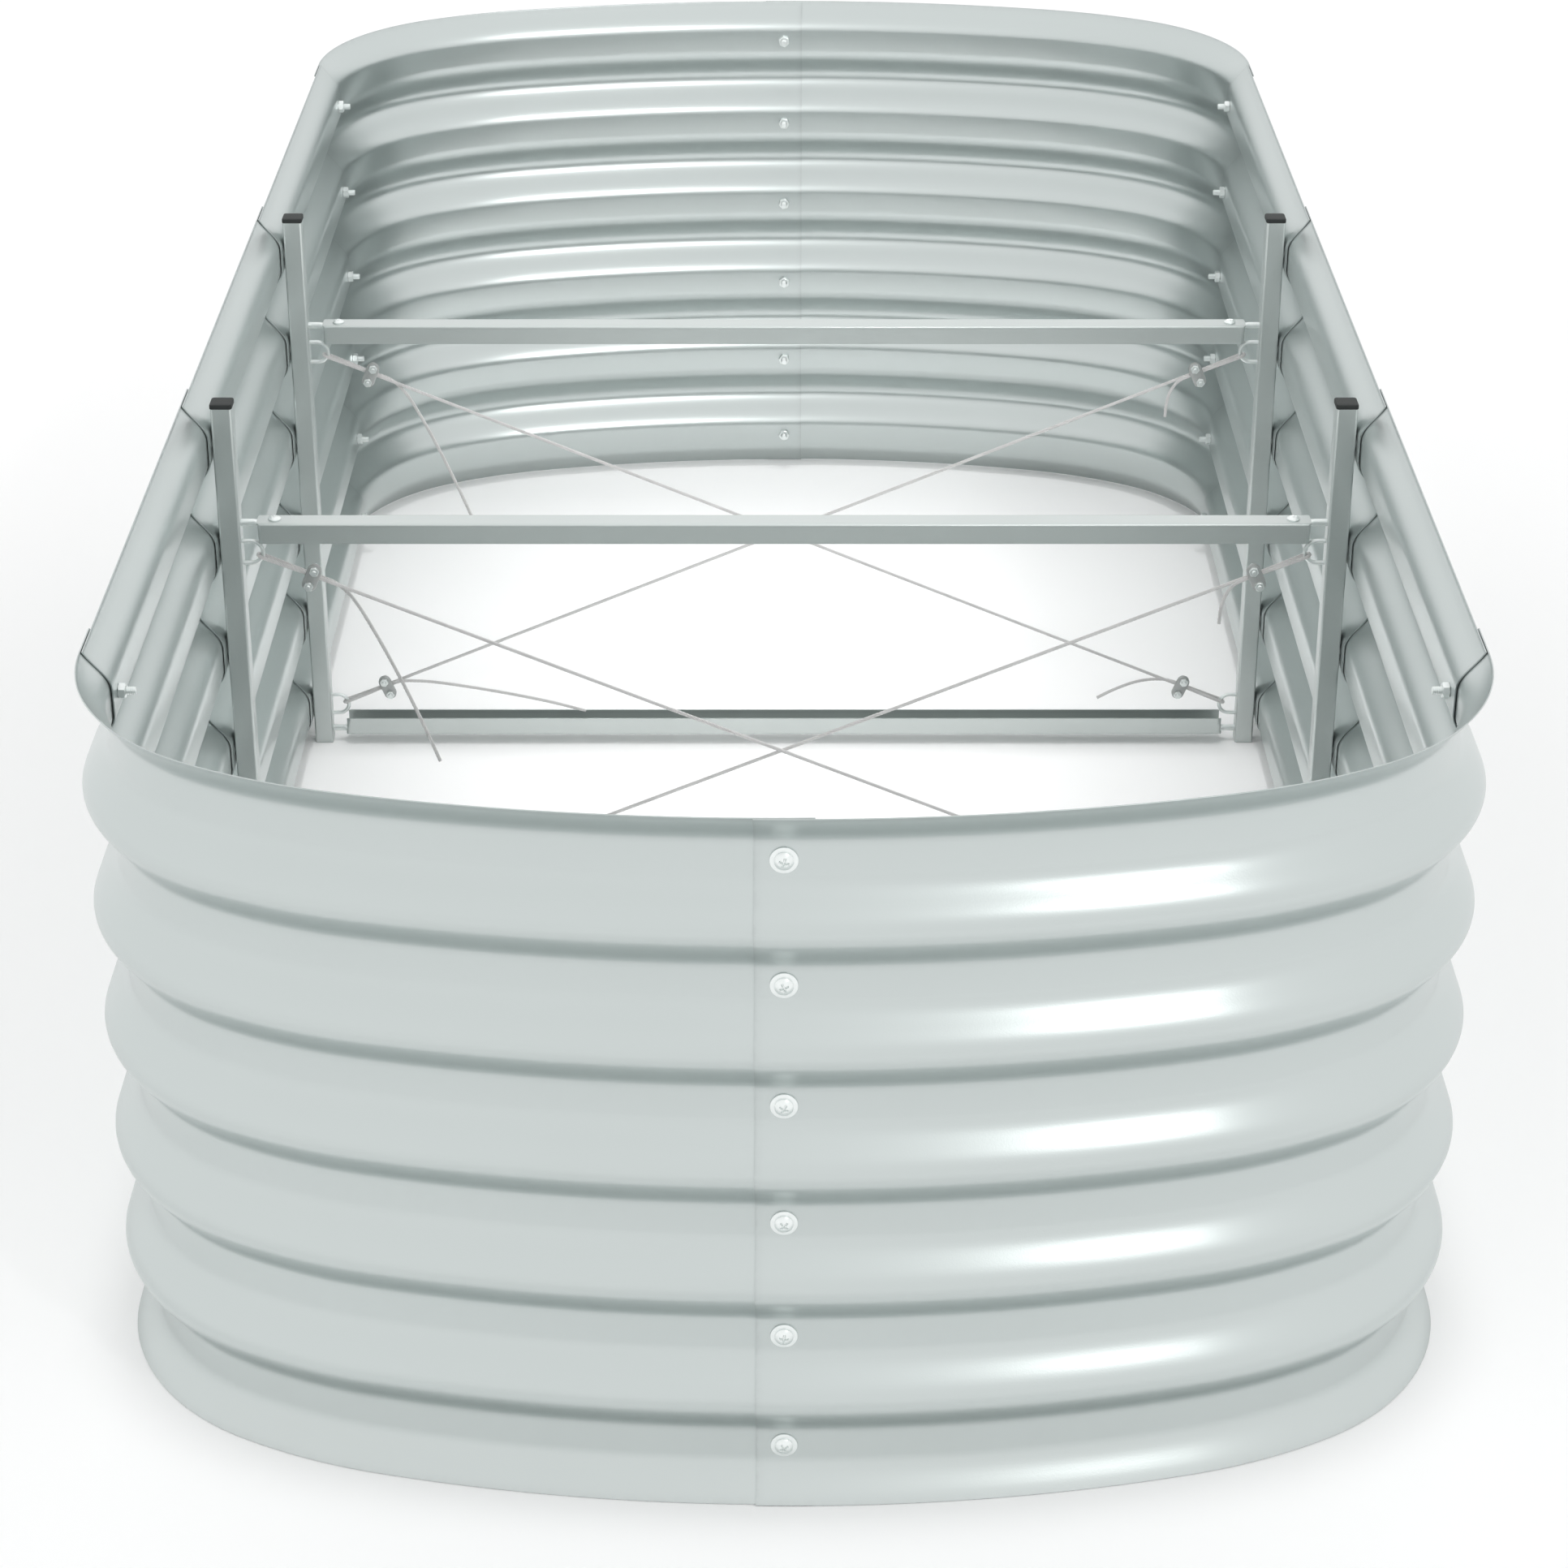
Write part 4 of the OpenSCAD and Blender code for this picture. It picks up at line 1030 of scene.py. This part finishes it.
class BED_OT_eye_loops(bpy.types.Operator):
    """Build the bent eye loops on the posts and their nuts"""

    bl_idname = "bed.eye_loops"
    bl_label = "Eye Loops"

    def execute(self, context):
        s, place = bed_layout(context)
        bend = place.eye_bend
        bend_x = -(s.eye_reach - s.eye_rod / 2 - bend)
        leg_end = s.post_wall + SEAT_GAP + s.eye_nut_height + EYE_THREAD_END
        path = [(leg_end, 0, -bend), (0, 0, -bend)]
        path += [(bend_x - bend * math.cos(a), 0, bend * math.sin(a))
                 for a in np.linspace(-math.pi / 2, math.pi / 2, 29)]
        path += [(0, 0, bend), (leg_end, 0, bend)]
        loop = bent_rod(path, s.eye_rod / 2, 20, (0, 1, 0))
        nut = hex_nut(s.eye_nut_flats, s.eye_nut_height, s.eye_rod)
        pair = joined([placed(nut, (s.post_wall + SEAT_GAP, 0, leg * bend),
                              (0, 1, 0), (0, 0, 1), (1, 0, 0)) for leg in (-1, 1)])
        spots = [((side * place.post_inner(far), far * place.post_y,
                   place.eye_z(level)), (side, 0, 0), (0, 1, 0), (0, 0, 1))
                 for side, far, level in BAR_ENDS]
        add_zinc_piece("bent_eye_loops", copies(loop, spots), "eye_loops")
        add_zinc_piece("eye_hex_nuts", copies(pair, spots), "eye_nuts",
                       smooth_angle=NUT_ANGLE)
        return {"FINISHED"}


def rope_axes(place, side, far, level):
    """Eye loop's bend, and the axes along the rope, across it and square to both."""
    slope = place.slope(far)
    run = np.array([-side * math.cos(slope), 0, -level * math.sin(slope)])
    square = np.array([-side * level * math.sin(slope), 0, math.cos(slope)])
    eye = np.array([side * place.eye_x(far), far * place.post_y, place.eye_z(level)])
    return eye + place.eye_bend * run, run, np.array([0, 1.0, 0]), square


def rope_end(place):
    """One end of a held rope: back from the clip, round the eye and out again."""
    bend = [(place.rope_bend * math.cos(a), place.rope_bend * math.sin(a))
            for a in np.radians(np.linspace(80, 280, 25))]
    return [(place.doubled_end, place.strand_y), (place.doubled_start, place.strand_y),
            *bend, (place.doubled_start, -place.strand_y)]


class BED_OT_wire_ropes(bpy.types.Operator):
    """Build the four crossed wire ropes, laid from six strands each"""

    bl_idname = "bed.wire_ropes"
    bl_label = "Wire Ropes"

    def execute(self, context):
        s, place = bed_layout(context)
        end = rope_end(place)
        for far in (NEAR, FAR):
            for upper_side, word in ((LEFT, "falling"), (RIGHT, "rising")):
                upper, run, _, square = rope_axes(place, upper_side, far, UPPER)
                lower = rope_axes(place, -upper_side, far, LOWER)[0]
                across = np.array([0, -upper_side, 0])
                path = [upper + x * run + y * across for x, y in end]
                path += [lower - x * run + y * across for x, y in reversed(end)]
                tail = f"{END_NAMES[far]}_{word}"
                add_piece("laid_rope_" + tail,
                          laid_rope(path, s.rope, s.rope_lay, square),
                          rope_steel(), ["wire_rope_" + tail],
                          smooth_angle=ROPE_ANGLE)
        return {"FINISHED"}


def smooth_route(route, steps):
    """A smooth curve through the points of a route."""
    points, last = [], len(route) - 1
    for i in range(last):
        p, q = route[max(0, i - 1)], route[i]
        r, t = route[i + 1], route[min(last, i + 2)]
        for k in range(steps):
            u = k / steps
            points.append((2 * q + (r - p) * u + (2 * p - 5 * q + 4 * r - t) * u * u
                           + (3 * q - p - 3 * r + t) * u ** 3) / 2)
    return points + [route[last]]


class BED_OT_rope_tails(bpy.types.Operator):
    """Build the eight free rope tails past the clips"""

    bl_idname = "bed.rope_tails"
    bl_label = "Rope Tails"

    def execute(self, context):
        s, place = bed_layout(context)
        for far in (NEAR, FAR):
            for (level, side), offsets in TAIL_ROUTES.items():
                origin, run = rope_axes(place, side, far, level)[:2]
                strand_side = -1 if level * side == UPPER * LEFT else 1
                start = origin + place.doubled_end * run
                start[1] -= strand_side * place.strand_y
                route = [start + np.array([-side * a, 0, b]) for a, b in offsets]
                path = np.array(smooth_route(route, 6))
                tail = "_".join((END_NAMES[far], LEVEL_NAMES[level], SIDE_NAMES[side]))
                piece = add_piece("laid_tail_" + tail,
                                  laid_rope(path, s.rope, s.rope_lay, (0, 1, 0)),
                                  rope_steel(), ["rope_tail_" + tail],
                                  smooth_angle=ROPE_ANGLE)
        return {"FINISHED"}


def clip_saddle(s, face):
    """A saddle behind its rope, whose near face lies at -face on the Y axis."""
    edge, back = s.saddle_edge, s.saddle_thickness
    rows = [(edge, 0), (edge * 0.3, edge * 0.3), (0, edge), (0, back - edge),
            (edge * 0.3, back - edge * 0.3), (edge, back)]
    rings = [[(x, -face - depth, z)
              for x, z in stadium(s.saddle_length, s.saddle_width, inset)]
             for inset, depth in rows]
    return np.vstack(rings), ring_skin(len(rows), len(rings[0]))


def clip_rod(s, face):
    """A rod bent round the ropes, with a thread on each leg behind the saddle."""
    half, bend = s.clip_pitch / 2, s.clip_bend
    turn = face + s.clip_rod / 2 - bend
    tip = -(face + s.saddle_thickness + SEAT_GAP + s.clip_nut_height + THREAD_END)
    leg = [(0, tip + CLIP_ROD_END, half)]
    leg += [(0, turn + bend * math.sin(a), half - bend + bend * math.cos(a))
            for a in np.linspace(0, math.pi / 2, 9)]
    path = leg + [(x, y, -z) for x, y, z in reversed(leg)]
    thread = threaded_rod(s.clip_rod / 2, CLIP_THREAD, CLIP_PITCH)
    threads = [placed(thread, (0, tip + CLIP_THREAD, end * half), *TOWARD_NEAR)
               for end in (-1, 1)]
    return joined([bent_rod(path, s.clip_rod / 2, 18, (1, 0, 0)), *threads])


class BED_OT_rope_clips(bpy.types.Operator):
    """Build the eight rope clips, each a saddle, a bent rod and two nuts"""

    bl_idname = "bed.rope_clips"
    bl_label = "Rope Clips"

    def execute(self, context):
        s, place = bed_layout(context)
        face = place.strand_y + s.rope / 2 + s.rope_gap / 2
        nut = hex_nut(s.clip_nut_flats, s.clip_nut_height, s.clip_rod)
        seat = -face - s.saddle_thickness - SEAT_GAP
        pair = joined([placed(nut, (0, seat, end * s.clip_pitch / 2), *TOWARD_NEAR)
                       for end in (-1, 1)])
        clips = []
        for side, far, level in BAR_ENDS:
            origin, run, across, square = rope_axes(place, side, far, level)
            clips.append((origin + s.clip_distance * run, run, across, square))
        add_piece("cast_saddles", copies(clip_saddle(s, face), clips), cast_zinc(),
                  ["clip_saddles"])
        add_zinc_piece("bent_clip_rods", copies(clip_rod(s, face), clips),
                       "clip_u_bolts")
        add_zinc_piece("clip_hex_nuts", copies(pair, clips), "clip_nuts",
                       smooth_angle=NUT_ANGLE)
        return {"FINISHED"}


# Stage


def soft_box(name, location, target, width, height, power, spread, in_gloss):
    """A rectangular studio light that stands somewhere and points at a target."""
    light = bpy.data.lights.new(name, "AREA")
    light.shape = "RECTANGLE"
    light.size, light.size_y, light.energy = width, height, power
    light.spread = math.radians(spread)
    lamp = bpy.data.objects.new(name, light)
    bpy.context.scene.collection.objects.link(lamp)
    lamp.location = location
    way = Vector(target) - Vector(location)
    lamp.rotation_euler = way.to_track_quat("-Z", "Y").to_euler()
    lamp.visible_glossy = in_gloss


class BED_OT_stage(bpy.types.Operator):
    """Set the camera, the pale floor and the soft studio light"""

    bl_idname = "bed.stage"
    bl_label = "Stage"

    def execute(self, context):
        scene = context.scene
        lens = bpy.data.cameras.new("photo view")
        lens.sensor_width = 36
        lens.lens = CAMERA_LENS
        lens.clip_end = 60
        camera = bpy.data.objects.new("photo view", lens)
        scene.collection.objects.link(camera)
        camera.location = CAMERA_PLACE
        camera.rotation_euler = (math.radians(90 - CAMERA_PITCH), 0, 0)
        scene.camera = camera

        mesh = bpy.data.meshes.new("studio_floor")
        corners = [(-1, -1), (1, -1), (1, 1), (-1, 1)]
        mesh.from_pydata([(x * FLOOR_HALF, y * FLOOR_HALF, -FLOOR_DROP)
                          for x, y in corners], [], [(0, 1, 2, 3)])
        floor = bpy.data.objects.new("studio_floor", mesh)
        scene.collection.objects.link(floor)
        mesh.materials.append(floor_paint())

        world = bpy.data.worlds.new("studio")
        world.use_nodes = True
        sky = world.node_tree.nodes["Background"]
        sky.inputs["Color"].default_value = (1, 1, 1, 1)
        sky.inputs["Strength"].default_value = SKY_STRENGTH
        scene.world = world
        scene.view_settings.view_transform = "Standard"
        for name, settings in LIGHTS.items():
            soft_box(name, *settings)
        return {"FINISHED"}


class BED_PT_panel(bpy.types.Panel):
    """Lists the bed's pieces, sizes and colours"""

    bl_label = "Garden Bed"
    bl_idname = "BED_PT_panel"
    bl_space_type = "VIEW_3D"
    bl_region_type = "UI"
    bl_category = "Garden Bed"

    def draw(self, context):
        for operator in OPERATORS:
            self.layout.operator(operator.bl_idname)
        for group in (context.scene.bed_sizes, context.scene.bed_colours):
            box = self.layout.box()
            for key in group.__annotations__:
                box.prop(group, key)


OPERATORS = (
    BED_OT_stage, BED_OT_rope_tails, BED_OT_wall_panels, BED_OT_posts,
    BED_OT_cross_bars, BED_OT_bar_fixings, BED_OT_seam_fasteners, BED_OT_eye_loops,
    BED_OT_wire_ropes, BED_OT_rope_clips,
)
CLASSES = (BedSizes, BedColours, *OPERATORS, BED_PT_panel)


def register():
    """Adds the bed's classes and its settings on the scene."""
    for item in CLASSES:
        bpy.utils.register_class(item)
    bpy.types.Scene.bed_sizes = PointerProperty(type=BedSizes)
    bpy.types.Scene.bed_colours = PointerProperty(type=BedColours)


def unregister():
    """Takes the classes and the settings away again."""
    del bpy.types.Scene.bed_colours
    del bpy.types.Scene.bed_sizes
    for item in reversed(CLASSES):
        bpy.utils.unregister_class(item)


def main():
    """Builds the stage and every piece."""
    register()
    bpy.ops.bed.stage()
    bpy.ops.bed.rope_tails()
    bpy.ops.bed.wall_panels()
    bpy.ops.bed.posts()
    bpy.ops.bed.cross_bars()
    bpy.ops.bed.bar_fixings()
    bpy.ops.bed.seam_fasteners()
    bpy.ops.bed.eye_loops()
    bpy.ops.bed.wire_ropes()
    bpy.ops.bed.rope_clips()


if __name__ == "__main__":
    main()
